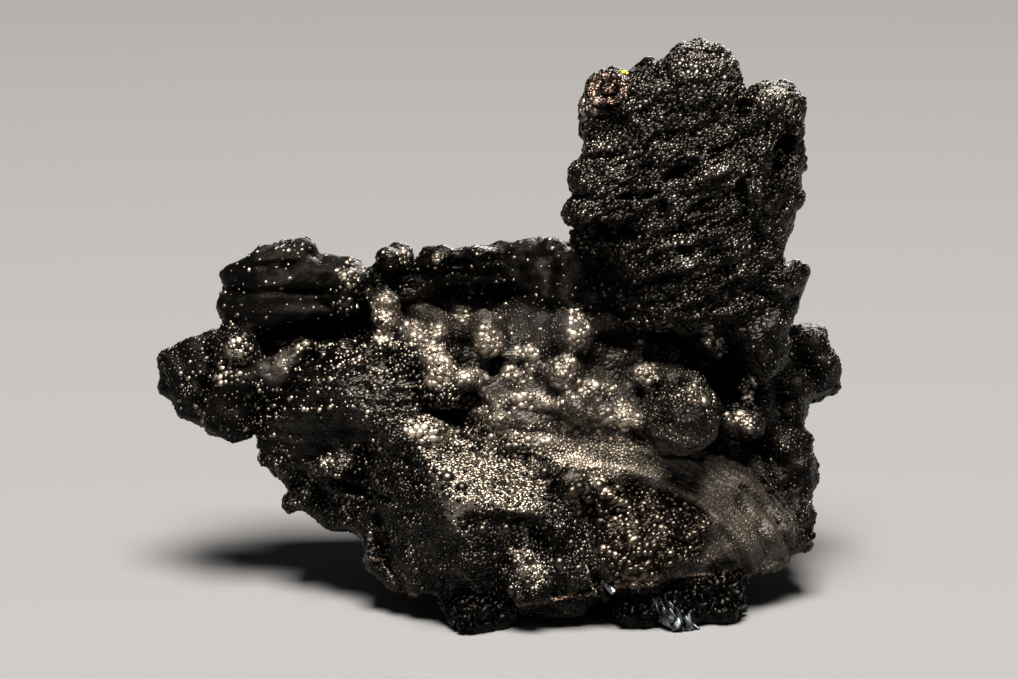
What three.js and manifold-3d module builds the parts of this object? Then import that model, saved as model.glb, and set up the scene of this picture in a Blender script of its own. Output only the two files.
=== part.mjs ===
// A goethite specimen: one mass of plates, ledges and rounded knobs that grew together, standing on
// the dark crystals under it. Millimetres, +Z up; the origin is the middle of its footprint box.
//
// Places are measured on the face of the specimen: [across, up, deep] is the distance to the right of
// its middle, above its lowest crystal and behind its front. The whole is then leant back by LEAN.
import * as THREE from "three";
import { ConvexGeometry } from "three/addons/geometries/ConvexGeometry.js";
import { TessellateModifier } from "three/addons/modifiers/TessellateModifier.js";
import { mergeVertices } from "three/addons/utils/BufferGeometryUtils.js";
import Module from "manifold-3d";

const wasm = await Module();
wasm.setup();

// Driving dimensions
const LEAN = 15; // degrees that the face leans back from upright
const SWELLS = [
  { length: 7.0, height: 0.4 }, // broad unevenness of the whole growth
  { length: 3.3, height: 0.18 }, // finer lumpiness
];

// How finely it is faceted
const FACET = 1.8; // longest edge of a facet
const COARSE = 4; // and on the masses inside
const SPLITS = 10; // most times that an edge is halved to reach it
const SHORTEST = 1.05; // edges shorter than this are taken out
const STRAIGHT = 0.92; // cosine of the most that doing so may turn a facet
const PASSES = 4; // how many times all edges are tried
const LEAST_REACH = 0.6; // share of a block's half size beyond which its surface is softened
const SAME_PLACE = 1e-4; // corners closer than this are one

// The upright blade at the right: a thick slab with a domed top and stepped ledges on its left edge
const blade = [
  block(0.2, [
    [7.7, 47.6, 1.4], [7.6, 41.6, 0.8], [12.6, 35.0, 0.8], [14.2, 27.6, 3.0], [23.6, 27.4, 3.0],
    [24.6, 34.0, 1.8], [26.6, 39.0, 1.4], [27.0, 47.0, 1.6], [22.0, 49.2, 0.6], [13.6, 50.2, 0.6],
    [18.6, 43.0, -0.9], [18.4, 35.0, -0.5], [8.4, 47.4, 7.0], [8.6, 41.0, 7.2], [13.0, 28.0, 8.6],
    [24.4, 28.0, 8.6], [25.6, 40.0, 7.4], [25.6, 47.0, 6.8], [14.0, 49.6, 6.4], [21.0, 49.0, 6.6],
  ]),
  lump([18.2, 48.6, 3.2], [4.0, 4.9, 3.8]), // dome on top
  lump([13.4, 49.1, 2.6], [2.9, 2.4, 2.8]),
  lump([25.0, 46.7, 3.2], [2.8, 3.4, 3.0]), // knob at the top right
  lump([10.7, 48.8, 2.6], [2.7, 2.3, 2.8], { square: 2.6 }), // broken nub at the top left
  lump([8.3, 47.6, 2.0], [1.0, 1.1, 1.2]),
  lump([9.9, 41.1, 2.8], [3.6, 2.1, 3.4], { square: 2.6 }), // ledges on the left edge
  lump([10.0, 38.1, 2.4], [3.9, 1.6, 3.2], { square: 2.6 }),
  lump([9.6, 35.4, 4.2], [2.7, 1.2, 2.4]),
  lump([25.7, 42.0, 3.8], [1.7, 2.8, 2.8]),
  lump([25.7, 38.7, 4.0], [1.7, 3.2, 2.8]),
  // ledges that cross its face, rising to the right, each with its lower edge standing proud
  lump([14.0, 45.2, 1.6], [5.4, 1.9, 1.7], { roll: 20, pitch: 30 }),
  lump([20.6, 45.4, 1.0], [5.6, 1.9, 1.7], { roll: 27, pitch: 30 }),
  lump([20.4, 41.6, 0.6], [6.4, 2.0, 1.7], { roll: 29, pitch: 30 }),
  lump([20.2, 38.2, 0.8], [6.4, 2.0, 1.7], { roll: 29, pitch: 30 }),
  lump([18.8, 34.8, 1.2], [5.8, 1.9, 1.7], { roll: 25, pitch: 30 }),
  lump([18.4, 31.6, 2.0], [5.4, 1.8, 1.8], { roll: 16, pitch: 30 }),
  lump([17.6, 28.4, 3.4], [5.8, 1.5, 2.0], { roll: 6, pitch: 20 }),
];

// Lobes and hanging fingers below the blade's right edge
const drapery = [
  lump([25.7, 31.9, 4.0], [2.3, 1.5, 2.2], { roll: 4 }),
  lump([25.2, 29.3, 5.0], [2.0, 1.9, 2.6]),
  lump([24.0, 27.2, 4.6], [2.3, 4.8, 2.6], { roll: -10 }),
  lump([22.5, 23.0, 4.4], [0.9, 1.9, 1.1]),
  lump([19.4, 27.0, 5.0], [1.0, 2.8, 1.6], { roll: -14 }),
  lump([20.6, 29.0, 6.4], [4.2, 3.0, 3.4]),
];

// The wall that joins the blade to the ridge behind
const saddle = [
  block(0.2, [
    [0.6, 32.6, 10.8], [1.6, 28.6, 9.6], [9.6, 26.4, 7.0], [14.6, 27.0, 5.6], [15.0, 35.0, 5.4],
    [8.0, 35.2, 8.6], [3.6, 34.8, 11.0], [1.0, 30.0, 17.6], [14.0, 26.0, 16.0], [14.0, 35.0, 15.0],
    [4.0, 34.6, 16.6],
  ]),
];

// The long ridge behind, with knobs along its top, and the barred block at its left end
const ridge = [
  block(0.1, [
    [-13.0, 32.9, 13.0], [-4.0, 33.9, 12.2], [6.6, 35.0, 12.0], [6.6, 31.8, 11.4], [-4.0, 31.4, 11.8],
    [-13.0, 30.0, 12.4], [-13.0, 32.0, 18.0], [6.6, 34.4, 18.6], [6.6, 30.0, 18.6], [-13.0, 28.6, 18.0],
  ]),
  lump([-9.6, 33.8, 12.8], [1.7, 1.3, 1.7]),
  lump([-5.8, 33.8, 12.6], [1.6, 1.1, 1.7]),
  lump([-1.4, 34.2, 12.8], [2.8, 1.2, 2.0], { roll: 6 }),
  lump([4.2, 34.6, 12.2], [3.2, 1.3, 2.4]),
  lump([-20.9, 33.3, 13.2], [4.1, 1.8, 3.4], { roll: 14, square: 3 }), // the bars
  lump([-18.6, 31.9, 12.6], [5.8, 2.1, 3.8], { roll: 2, square: 3 }),
  lump([-23.6, 31.9, 13.0], [2.3, 1.7, 2.8]),
  lump([-19.4, 29.4, 12.4], [6.2, 2.0, 3.9], { roll: 2, square: 3 }),
  lump([-23.7, 29.3, 13.0], [2.2, 1.7, 2.8]),
  lump([-14.6, 31.0, 12.0], [2.6, 3.2, 3.4]),
];

// The pointed nub at the far left and the neck that joins it
const nub = [
  block(0.25, [
    [-31.9, 23.7, 12.0], [-29.7, 26.3, 11.6], [-25.8, 27.4, 10.6], [-25.4, 18.0, 10.4],
    [-27.8, 18.8, 11.4], [-30.0, 21.2, 11.6], [-27.4, 24.0, 8.4], [-26.6, 20.4, 8.8],
    [-30.4, 24.0, 15.4], [-25.4, 26.6, 15.6], [-25.4, 19.0, 15.2], [-29.0, 20.4, 15.2],
  ]),
  lump([-24.2, 25.4, 9.6], [2.2, 2.4, 2.6]),
  lump([-24.5, 22.6, 8.8], [2.4, 2.4, 2.3]),
  lump([-24.7, 20.4, 9.8], [2.5, 2.8, 2.6], { square: 2.8 }),
  lump([-20.8, 23.4, 9.4], [3.0, 1.8, 2.6]),
];

// The striated plate left of the middle, and the rough shelf under it
const plate = [
  block(0.2, [
    [-5.4, 26.0, 5.0], [-4.0, 21.6, 4.0], [-8.8, 18.6, 3.6], [-11.4, 16.4, 4.6], [-8.8, 27.2, 7.2],
    [-14.0, 26.8, 8.4], [-17.6, 25.6, 9.0], [-20.6, 24.0, 9.4], [-22.2, 21.4, 9.8], [-22.4, 17.6, 10.0],
    [-16.8, 15.6, 7.4], [-15.0, 22.4, 5.4], [-8.8, 22.8, 3.4], [-15.0, 18.8, 5.8], [-6.0, 26.0, 12.0],
    [-20.6, 24.0, 14.0], [-20.6, 16.0, 14.0], [-6.0, 16.0, 12.0],
  ]),
  lump([-5.4, 22.8, 4.2], [2.2, 2.6, 2.3]),
  lump([-7.0, 25.3, 5.0], [2.6, 1.9, 2.4]),
  lump([-17.8, 25.9, 8.8], [0.9, 1.7, 1.3], { roll: -35 }),
  block(0.15, [
    [-23.2, 18.8, 10.4], [-21.9, 15.5, 10.8], [-18.4, 13.2, 10.6], [-14.0, 13.0, 7.4], [-10.6, 14.6, 6.2],
    [-11.0, 17.6, 6.0], [-17.0, 18.0, 7.2], [-20.0, 18.0, 15.0], [-19.0, 13.0, 15.0], [-9.0, 12.0, 12.0],
  ]),
  lump([-15.2, 14.6, 6.8], [2.2, 1.2, 1.7]),
];

// The heap of small knobs in the middle
const knobs = [
  lump([-10.4, 28.6, 9.4], [1.6, 3.2, 1.9]),
  lump([-7.6, 27.2, 8.8], [1.7, 1.6, 1.8]),
  lump([-5.4, 26.7, 7.4], [1.8, 2.1, 2.2]),
  lump([-3.4, 28.5, 10.2], [1.4, 1.9, 1.8], { roll: 30 }),
  lump([-0.9, 26.8, 6.2], [1.7, 2.4, 2.8], { pitch: 20 }),
  lump([1.6, 27.2, 8.6], [1.2, 1.6, 1.6]),
  lump([6.9, 26.9, 5.0], [2.1, 2.2, 3.0], { pitch: 20 }),
  lump([3.8, 26.4, 7.2], [3.8, 1.9, 2.8], { roll: 24 }),
  lump([1.2, 24.7, 5.4], [1.1, 0.9, 1.6]),
  lump([3.4, 24.3, 5.4], [1.5, 1.2, 1.8]),
  lump([0.6, 23.0, 5.2], [1.2, 0.9, 1.6]),
  lump([6.0, 23.5, 3.8], [1.7, 1.7, 2.6], { pitch: 15 }),
  lump([-2.9, 23.2, 5.2], [1.6, 1.3, 2.0]),
  lump([9.2, 22.4, 4.4], [1.5, 1.4, 2.2]),
  lump([11.2, 21.6, 4.8], [1.3, 1.1, 1.8]),
  lump([12.9, 23.1, 5.6], [1.6, 1.6, 2.2]),
  lump([16.0, 22.9, 6.8], [2.2, 1.5, 2.0]),
  lump([0.4, 21.3, 4.0], [1.9, 1.2, 2.0]),
  lump([3.6, 21.6, 3.8], [2.0, 1.3, 2.2]),
  lump([6.8, 20.4, 3.0], [1.6, 1.3, 2.2]),
  lump([9.6, 19.7, 3.0], [1.8, 1.3, 2.2]),
  lump([12.2, 19.6, 3.4], [1.8, 1.5, 2.4]),
  lump([-0.2, 19.2, 3.0], [1.9, 1.3, 2.1]),
  lump([2.8, 18.9, 3.0], [1.8, 1.1, 1.8]),
];

// The cone that juts out under the blade, and the lumps right of it
const cone = [
  block(0.35, [
    [16.6, 19.8, -2.6], [18.4, 20.8, -1.8], [17.2, 23.8, 2.6], [20.2, 20.8, 3.2], [18.8, 16.8, 2.0],
    [15.2, 16.8, 1.8], [13.2, 19.4, 2.4], [13.6, 22.0, 4.6], [16.0, 22.0, 8.0], [19.0, 19.0, 8.0],
    [14.0, 18.6, 8.0],
  ]),
  lump([21.4, 18.8, 6.0], [2.7, 1.7, 2.6], { roll: -14 }),
];

// The shield at the front, with its step and the folded edge that it turns to the fan
const shield = [
  block(0.02, [
    [-10.2, 19.0, 3.0], [-5.2, 18.7, 2.0], [0.2, 17.0, 1.6], [5.2, 14.8, 0.8], [7.2, 10.2, 0.2],
    [9.4, 4.4, 0.8], [9.2, 3.0, 1.6], [7.2, 1.1, 1.8], [1.8, 2.4, 1.8], [-1.6, 2.8, 1.4],
    [-7.4, 3.4, 2.2], [-9.8, 6.4, 3.2], [-11.1, 12.2, 3.8], [-11.4, 16.6, 4.0], [-4.0, 10.8, -3.0],
    [2.4, 10.6, -3.0], [-8.0, 16.8, 0.6], [-10.0, 18.0, 9.0], [8.0, 12.0, 9.0], [8.0, 4.0, 8.0],
    [-8.0, 4.6, 8.0],
  ]),
  lump([-9.0, 18.2, 2.6], [1.9, 1.6, 2.0]),
  lump([-6.0, 18.2, 2.0], [2.1, 1.3, 1.6], { roll: -10 }),
  lump([5.6, 10.6, 0.2], [1.3, 5.0, 1.7], { roll: -14 }),
];

// The fan that spreads from the shield to the right, in two leaves, the nearer one the smaller
const fan = [
  block(0.08, [
    [0.4, 17.4, 3.2], [5.6, 18.6, 4.2], [12.8, 18.2, 4.8], [18.2, 16.6, 5.4], [22.2, 15.2, 6.6],
    [24.8, 12.6, 7.6], [26.6, 9.6, 7.8], [26.2, 7.4, 7.6], [24.8, 5.9, 6.2], [22.8, 4.0, 5.0],
    [16.4, 6.0, 3.0], [8.0, 14.0, 1.6], [13.6, 13.4, 1.2], [18.6, 12.2, 1.8], [21.8, 9.4, 3.0],
    [4.0, 16.0, 12.0], [22.0, 14.0, 13.0], [25.0, 8.0, 13.0], [10.0, 5.0, 10.0],
  ]),
  block(0.05, [
    [7.0, 13.4, 1.2], [12.8, 13.0, 0.5], [17.3, 11.8, 1.1], [20.8, 9.2, 2.4], [22.8, 6.2, 3.9],
    [22.0, 5.0, 4.2], [16.6, 5.1, 2.2], [12.8, 4.4, 1.2], [9.0, 4.0, 1.0], [11.0, 8.4, -1.1],
    [16.6, 8.0, 0.2], [8.0, 12.0, 6.0], [20.0, 8.0, 8.0], [10.0, 5.0, 7.0], [20.0, 5.6, 7.0],
  ]),
  lump([9.1, 12.9, 1.0], [2.4, 1.9, 1.8], { roll: -20 }), // bubbled patch by the shield
  lump([25.2, 8.0, 7.4], [2.1, 2.8, 2.6], { roll: -30 }),
];

// Round lobes at the far right
const rightLobes = [
  lump([28.8, 25.6, 16.0], [2.3, 2.5, 3.0]),
  lump([29.4, 23.5, 15.6], [2.4, 2.4, 3.2]),
  lump([26.6, 21.4, 14.4], [2.8, 3.4, 3.6]),
  lump([26.3, 16.6, 11.6], [2.9, 2.7, 3.4]),
  lump([26.9, 14.2, 11.4], [2.7, 3.0, 3.4]),
  lump([27.1, 10.2, 9.4], [1.9, 3.2, 2.6]),
  lump([23.6, 20.4, 10.4], [3.0, 3.6, 3.2]),
];

// The thin broken shelf at the lower left
const shelf = [
  block(0.02, [
    [-19.7, 11.7, 9.6], [-15.6, 13.2, 8.6], [-11.0, 12.8, 6.4], [-9.6, 11.6, 5.6], [-12.6, 8.6, 6.2],
    [-16.4, 9.9, 8.2], [-17.4, 11.6, 13.4], [-11.0, 12.6, 13.0], [-12.0, 9.8, 12.0],
  ]),
  block(0.08, [
    [-13.1, 9.6, 5.6], [-12.3, 7.2, 5.8], [-10.1, 5.2, 5.0], [-9.7, 3.4, 4.6], [-8.0, 3.2, 4.0],
    [-8.6, 11.8, 4.2], [-10.6, 12.2, 5.0], [-11.6, 9.2, 12.0], [-8.4, 4.4, 11.0], [-8.0, 12.0, 12.0],
  ]),
];

// Dark blocky crystals under the front, which the specimen stands on
const feet = [
  crystal([-1.6, 1.6, 2.4], [4.0, 3.2, 3.4], [8, 14, -4]),
  crystal([-2.2, 2.4, 1.6], [2.8, 2.4, 2.4], [30, -20, 20]),
  crystal([12.6, 1.9, 3.8], [3.8, 3.4, 3.8], [-16, 20, 8]),
  crystal([16.6, 2.2, 4.0], [3.6, 3.8, 4.0], [10, -18, 14]),
  crystal([19.4, 2.6, 4.6], [4.2, 5.0, 4.6], [-8, 12, -8]),
];

// What carries all of it, two stumps of it reaching the ground behind the crystals
const core = [
  coarseBlock(0.15, [
    [-8.0, 16.0, 7.0], [-6.0, 27.0, 10.4], [8.0, 26.0, 8.0], [22.0, 24.0, 9.6], [25.0, 14.0, 9.0],
    [20.0, 7.0, 7.0], [-6.0, 6.0, 6.0], [-12.0, 22.0, 17.0], [-12.0, 31.0, 17.6], [6.0, 31.4, 18.6],
    [-8.0, 30.4, 14.4], [8.0, 30.4, 13.0], [22.0, 25.0, 17.6], [25.0, 12.0, 15.4], [16.0, 4.0, 17.0],
    [-4.0, 4.0, 15.0],
  ]),
  coarseBlock(0.15, [
    [-4.4, 8.0, 11.4], [-3.6, -2.0, 12.0], [7.0, -2.0, 11.4], [9.0, 8.0, 11.0], [-4.4, 8.0, 17.2],
    [-3.6, -2.0, 17.0], [8.0, -2.0, 17.8], [9.0, 8.0, 18.2],
  ]),
  coarseBlock(0.15, [
    [10.6, 8.0, 11.8], [11.4, -2.0, 12.4], [19.0, -2.0, 12.0], [21.4, 8.0, 11.4], [10.6, 8.0, 18.0],
    [11.4, -2.0, 17.2], [20.0, -2.0, 16.6], [21.4, 8.0, 17.4],
  ]),
  coarseBlock(0.2, [
    [-24.8, 29.4, 13.2], [-10.0, 30.0, 11.6], [-8.0, 20.0, 9.6], [-24.4, 20.0, 12.4],
    [-21.4, 29.4, 17.4], [-8.0, 30.0, 18.0], [-8.0, 18.0, 16.4], [-21.8, 20.0, 16.4],
  ]),
  coarseBlock(0.2, [
    [14.0, 36.0, 6.4], [25.0, 36.0, 6.4], [26.0, 22.0, 10.0], [12.0, 22.0, 8.6],
    [14.0, 35.0, 12.4], [24.0, 35.0, 11.6], [25.0, 22.0, 15.8], [12.0, 24.0, 16.4],
  ]),
];

// Broad lumps and ledges over the back
const back = [
  lump([-17.6, 25.8, 16.6], [5.8, 3.4, 2.8], { roll: 10 }),
  lump([-9.4, 25.0, 16.8], [5.0, 5.4, 3.0], { roll: 25 }),
  lump([-2.6, 29.8, 18.2], [7.6, 2.4, 2.4], { roll: 3 }),
  lump([0.4, 22.2, 17.6], [5.2, 5.6, 3.2], { roll: -30 }),
  lump([9.4, 26.8, 17.2], [7.0, 3.6, 3.0], { roll: 18 }),
  lump([17.6, 29.4, 13.8], [6.0, 4.6, 3.4]),
  lump([19.0, 21.6, 16.0], [5.0, 6.0, 3.0], { roll: 20 }),
  lump([10.0, 18.4, 17.2], [4.6, 3.6, 2.8], { roll: -20 }),
  lump([20.6, 11.6, 14.8], [4.8, 4.0, 3.2]),
  lump([-6.6, 14.0, 15.4], [6.4, 4.2, 2.8], { roll: 28 }),
  lump([4.4, 11.6, 17.0], [7.4, 4.4, 2.6], { roll: -8 }),
  lump([14.2, 8.4, 16.6], [4.8, 4.4, 2.6], { roll: 30 }),
  lump([-1.6, 4.0, 15.8], [3.8, 3.8, 2.4]),
  lump([-14.4, 17.6, 14.8], [4.8, 2.6, 2.6], { roll: -28 }),
  lump([17.6, 46.0, 6.2], [6.6, 1.9, 2.8], { roll: -24 }),
  lump([16.6, 41.6, 6.8], [6.8, 1.9, 2.6], { roll: -22 }),
  lump([17.4, 37.2, 7.4], [6.8, 2.0, 2.8], { roll: -20 }),
];

// Hollows between the lumps
const hollows = [
  lump([-0.3, 23.8, 4.4], [1.2, 1.1, 3.2]), // pit among the knobs
  lump([-2.6, 19.9, 2.8], [2.4, 1.0, 3.4], { roll: 16 }), // slot between the plate and the shield
  lump([25.6, 43.4, 0.4], [0.8, 1.7, 2.6], { roll: -25 }), // slot in the blade's right edge
  lump([13.2, 26.0, 5.0], [5.6, 2.0, 5.0]), // shade under the blade
  lump([21.0, 22.8, 6.4], [2.6, 3.0, 4.6]), // recess behind the fingers
  lump([26.4, 22.4, 8.6], [1.2, 3.4, 5.0]), // and between them and the lobes
  lump([-16.2, 27.6, 9.6], [6.4, 1.3, 4.6], { roll: 3 }), // gap under the barred block
  lump([-2.8, 30.1, 10.6], [5.8, 1.8, 5.0], { roll: 4 }), // gap under the ridge
];

// ---- making ----

// One rounded lump: a ball with the given half sizes, boxier the larger its squareness
function lump(at, half, { roll = 0, yaw = 0, pitch = 0, square = 2.3 } = {}) {
  const radius = Math.cbrt(half[0] * half[1] * half[2]);
  const ball = new THREE.IcosahedronGeometry(1, Math.ceil(radius / FACET));
  const point = new THREE.Vector3();
  const places = ball.getAttribute("position");
  for (let i = 0; i < places.count; i++) {
    point.fromBufferAttribute(places, i);
    const spread = point.toArray().reduce((sum, value) => sum + Math.abs(value) ** square, 0);
    point.multiplyScalar(spread ** (-1 / square));
    places.setXYZ(i, point.x * half[0], point.y * half[2], point.z * half[1]);
  }
  return placed(ball, at, [pitch, yaw, roll]);
}

// One angular mass: the hull of its corners, its edges softened by a share from 0 to 1
function block(soften, corners, facet = FACET) {
  const points = corners.map(([across, up, deep]) => new THREE.Vector3(across, deep, up));
  const hull = new TessellateModifier(facet, SPLITS).modify(bare(new ConvexGeometry(points)));
  hull.computeBoundingBox();
  const middle = hull.boundingBox.getCenter(new THREE.Vector3());
  const half = hull.boundingBox.getSize(new THREE.Vector3()).multiplyScalar(0.5);
  const point = new THREE.Vector3();
  const places = hull.getAttribute("position");
  for (let i = 0; i < places.count; i++) {
    point.fromBufferAttribute(places, i).sub(middle);
    const reach = Math.max(point.clone().divide(half).length(), LEAST_REACH);
    point.multiplyScalar(1 - soften + soften / reach).add(middle);
    places.setXYZ(i, point.x, point.y, point.z);
  }
  return solidOf(hull);
}

// The same with larger facets, for what is hidden
function coarseBlock(soften, corners) {
  return block(soften, corners, COARSE);
}

// One blocky crystal: a box of the given full sizes, turned
function crystal(at, size, turns) {
  return placed(new THREE.BoxGeometry(size[0], size[2], size[1]), at, turns);
}

// A geometry turned by [pitch, yaw, roll] degrees and set at [across, up, deep], as a solid
function placed(geometry, at, turns) {
  const [pitch, yaw, roll] = turns.map((turn) => THREE.MathUtils.degToRad(turn));
  const place = new THREE.Matrix4().makeRotationFromEuler(new THREE.Euler(-pitch, -roll, yaw, "ZYX"));
  return solidOf(geometry.applyMatrix4(place.setPosition(at[0], at[2], at[1])));
}

// Only the places and faces of a geometry, without normals and texture coordinates
function bare(geometry) {
  const places = new THREE.BufferGeometry().setAttribute("position", geometry.getAttribute("position"));
  return geometry.index ? places.setIndex(geometry.index) : places;
}

// A three.js geometry as a manifold-3d solid
function solidOf(geometry) {
  const merged = mergeVertices(bare(geometry), SAME_PLACE);
  return new wasm.Manifold(
    new wasm.Mesh({
      numProp: 3,
      vertProperties: new Float32Array(merged.getAttribute("position").array),
      triVerts: new Uint32Array(merged.index.array),
    }),
  );
}

// A manifold-3d solid as a three.js geometry
function geometryOf(solid) {
  const mesh = solid.getMesh();
  const places = new Float32Array(mesh.numVert * 3);
  for (let i = 0; i < mesh.numVert; i++)
    places.set(mesh.vertProperties.subarray(i * mesh.numProp, i * mesh.numProp + 3), i * 3);
  return new THREE.BufferGeometry()
    .setAttribute("position", new THREE.BufferAttribute(places, 3))
    .setIndex(new THREE.BufferAttribute(new Uint32Array(mesh.triVerts), 1));
}

// How far a swell of one length and height shifts a point
function swell(p, { length, height }) {
  const k = (2 * Math.PI) / length;
  return new THREE.Vector3(
    Math.sin(k * p.y + 1.7 * Math.sin(k * 0.61 * p.z)) + Math.sin(k * 0.83 * p.z + 2.1),
    Math.sin(k * p.z + 1.3 * Math.sin(k * 0.57 * p.x)) + Math.sin(k * 0.79 * p.x + 0.7),
    Math.sin(k * p.x + 1.5 * Math.sin(k * 0.53 * p.y)) + Math.sin(k * 0.87 * p.y + 4.0),
  ).multiplyScalar(height / 2);
}

// Shifts every corner by the swells, so that no face of the growth stays regular
function roughen(geometry) {
  const places = geometry.getAttribute("position");
  const point = new THREE.Vector3();
  for (let i = 0; i < places.count; i++) {
    point.fromBufferAttribute(places, i);
    const shifts = SWELLS.map((each) => swell(point, each));
    for (const shift of shifts) point.add(shift);
    places.setXYZ(i, point.x, point.y, point.z);
  }
  return geometry;
}

// Takes out most edges shorter than SHORTEST, which clears away the slivers that the joins leave
function withoutSlivers(geometry) {
  const places = geometry.getAttribute("position");
  const points = [];
  for (let i = 0; i < places.count; i++) points.push(new THREE.Vector3().fromBufferAttribute(places, i));
  const facesAt = points.map(() => new Set());
  for (let i = 0; i < geometry.index.count; i += 3) {
    const face = [...geometry.index.array.subarray(i, i + 3)];
    for (const corner of face) facesAt[corner].add(face);
  }
  for (let pass = 0; pass < PASSES; pass++)
    for (let corner = 0; corner < points.length; corner++) mergeIntoNearest(corner, points, facesAt);
  const kept = new Set(facesAt.flatMap((faces) => [...faces]));
  return bare(geometry).setIndex([...kept].flat());
}

// Merges a corner into the nearest one that it shares an edge with, where that folds no face
function mergeIntoNearest(from, points, facesAt) {
  const near = neighboursOf(from, facesAt);
  if (near.length === 0) return;
  const gapTo = (corner) => points[corner].distanceTo(points[from]);
  const into = near.reduce((nearest, corner) => (gapTo(corner) < gapTo(nearest) ? corner : nearest));
  if (gapTo(into) > SHORTEST) return;
  const aroundBoth = neighboursOf(into, facesAt).filter((corner) => near.includes(corner));
  const moving = [...facesAt[from]].filter((face) => !face.includes(into));
  const moved = moving.map((face) => face.map((corner) => (corner === from ? into : corner)));
  const turn = (face, i) => normalOf(face, points).dot(normalOf(moved[i], points));
  if (aroundBoth.length !== 2 || moving.map(turn).some((cosine) => cosine < STRAIGHT)) return;
  for (const face of facesAt[from])
    for (const corner of face) if (corner !== from) facesAt[corner].delete(face);
  facesAt[from].clear();
  for (const face of moved) for (const corner of face) facesAt[corner].add(face);
}

// The corners that share an edge with one
function neighboursOf(own, facesAt) {
  return [...new Set([...facesAt[own]].flat())].filter((corner) => corner !== own);
}

function normalOf(face, points) {
  const [a, b, c] = face.map((corner) => points[corner]);
  return new THREE.Triangle(a, b, c).getNormal(new THREE.Vector3());
}

const masses = [
  core, back, blade, drapery, saddle, ridge, nub, plate, knobs, cone, shield, fan, rightLobes, shelf, feet,
].flat();
const whole = masses.reduce((grown, next) => grown.add(next));
const hollowed = hollows.reduce((grown, hollow) => grown.subtract(hollow), whole);

// Lean the growth back, and cut it flat where it stands
const leant = withoutSlivers(roughen(geometryOf(hollowed))).rotateX(THREE.MathUtils.degToRad(-LEAN));
const underGround = new THREE.BoxGeometry(200, 200, 40).translate(0, 0, -20);
const standing = geometryOf(solidOf(leant).subtract(solidOf(underGround)));

// Bring the middle of the footprint box to the origin
standing.computeBoundingBox();
const middle = standing.boundingBox.getCenter(new THREE.Vector3());
standing.translate(-middle.x, -middle.y, -standing.boundingBox.min.z);

const goethite = new THREE.Mesh(
  standing,
  new THREE.MeshStandardMaterial({ name: "goethite", color: 0x2b241e, roughness: 0.38, metalness: 0.85 }),
);
goethite.name = "goethite";

const specimen = new THREE.Group();
specimen.add(goethite);

export default specimen;
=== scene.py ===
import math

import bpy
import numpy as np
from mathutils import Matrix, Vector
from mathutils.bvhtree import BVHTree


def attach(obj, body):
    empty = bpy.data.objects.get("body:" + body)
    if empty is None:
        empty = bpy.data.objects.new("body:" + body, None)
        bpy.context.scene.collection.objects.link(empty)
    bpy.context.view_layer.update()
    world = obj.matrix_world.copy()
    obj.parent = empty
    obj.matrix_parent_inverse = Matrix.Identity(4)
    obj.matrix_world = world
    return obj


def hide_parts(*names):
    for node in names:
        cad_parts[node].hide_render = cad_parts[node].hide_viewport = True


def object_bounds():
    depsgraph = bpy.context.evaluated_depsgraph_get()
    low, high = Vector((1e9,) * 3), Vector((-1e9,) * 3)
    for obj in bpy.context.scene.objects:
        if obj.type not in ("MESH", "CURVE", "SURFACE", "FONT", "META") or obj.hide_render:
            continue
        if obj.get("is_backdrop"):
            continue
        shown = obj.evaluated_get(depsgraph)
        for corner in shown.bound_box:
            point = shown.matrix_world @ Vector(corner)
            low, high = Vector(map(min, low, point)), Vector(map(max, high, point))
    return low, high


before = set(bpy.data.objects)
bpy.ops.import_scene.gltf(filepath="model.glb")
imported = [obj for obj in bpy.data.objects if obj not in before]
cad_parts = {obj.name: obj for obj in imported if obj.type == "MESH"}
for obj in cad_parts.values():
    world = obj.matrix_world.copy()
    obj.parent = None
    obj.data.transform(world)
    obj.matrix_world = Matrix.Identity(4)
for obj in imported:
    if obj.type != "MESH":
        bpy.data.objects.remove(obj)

# %% [markdown]
# # A goethite specimen
# The mineral grew as one mass: a tall stepped blade, a long ridge, a heap of knobs, a shield-shaped
# plate and a fan, all in a dark bronze skin of tiny beads. The frame holds its main forms with flat
# facets. This lesson rounds a copy of them, cuts growth lines into it, grows the bead crusts on it
# and gives it its finishes. First the frame's size is taken, to print beside the stone's at the end.

MM = 0.001
CAD_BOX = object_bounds()
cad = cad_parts["goethite"]
print("frame box", CAD_BOX, "triangles", len(cad.data.polygons))

# %% [markdown]
# ## The camera and the front view
# The camera comes first, because small features are placed by how the front view sees them. It
# stands 356 mm away and looks 15 degrees down. A place in that view is x steps to the right and y
# steps down, with the view 1018 steps wide and 679 high. A ray through such a place meets the
# surface, so every feature sits on what carries it. A place in millimetres would need a depth as
# well, and would float or sink whenever the surface is changed.

# %% The camera
VIEW_WIDE, VIEW_HIGH = 1018, 679
LOOK_DOWN = math.radians(15)
RIGHT = np.array([1.0, 0.0, 0.0])
UPWARD = np.array([0.0, math.sin(LOOK_DOWN), math.cos(LOOK_DOWN)])
AHEAD = np.array([0.0, math.cos(LOOK_DOWN), -math.sin(LOOK_DOWN)])
AIM = np.array([0.908, -7.047, 25.694]) * MM
AWAY = 356 * MM
EYE = AIM - AHEAD * AWAY
LENS, SENSOR = 139.88, 36

bpy.ops.object.camera_add(location=EYE, rotation=(math.pi / 2 - LOOK_DOWN, 0, 0))
camera = bpy.context.object
camera.data.lens = LENS
camera.data.sensor_width = SENSOR
camera.data.clip_start = 0.01
bpy.context.scene.camera = camera
print("camera at", [round(v, 4) for v in EYE])

# %% Between the view and the stone
STEPS = LENS / SENSOR * VIEW_WIDE


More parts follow.
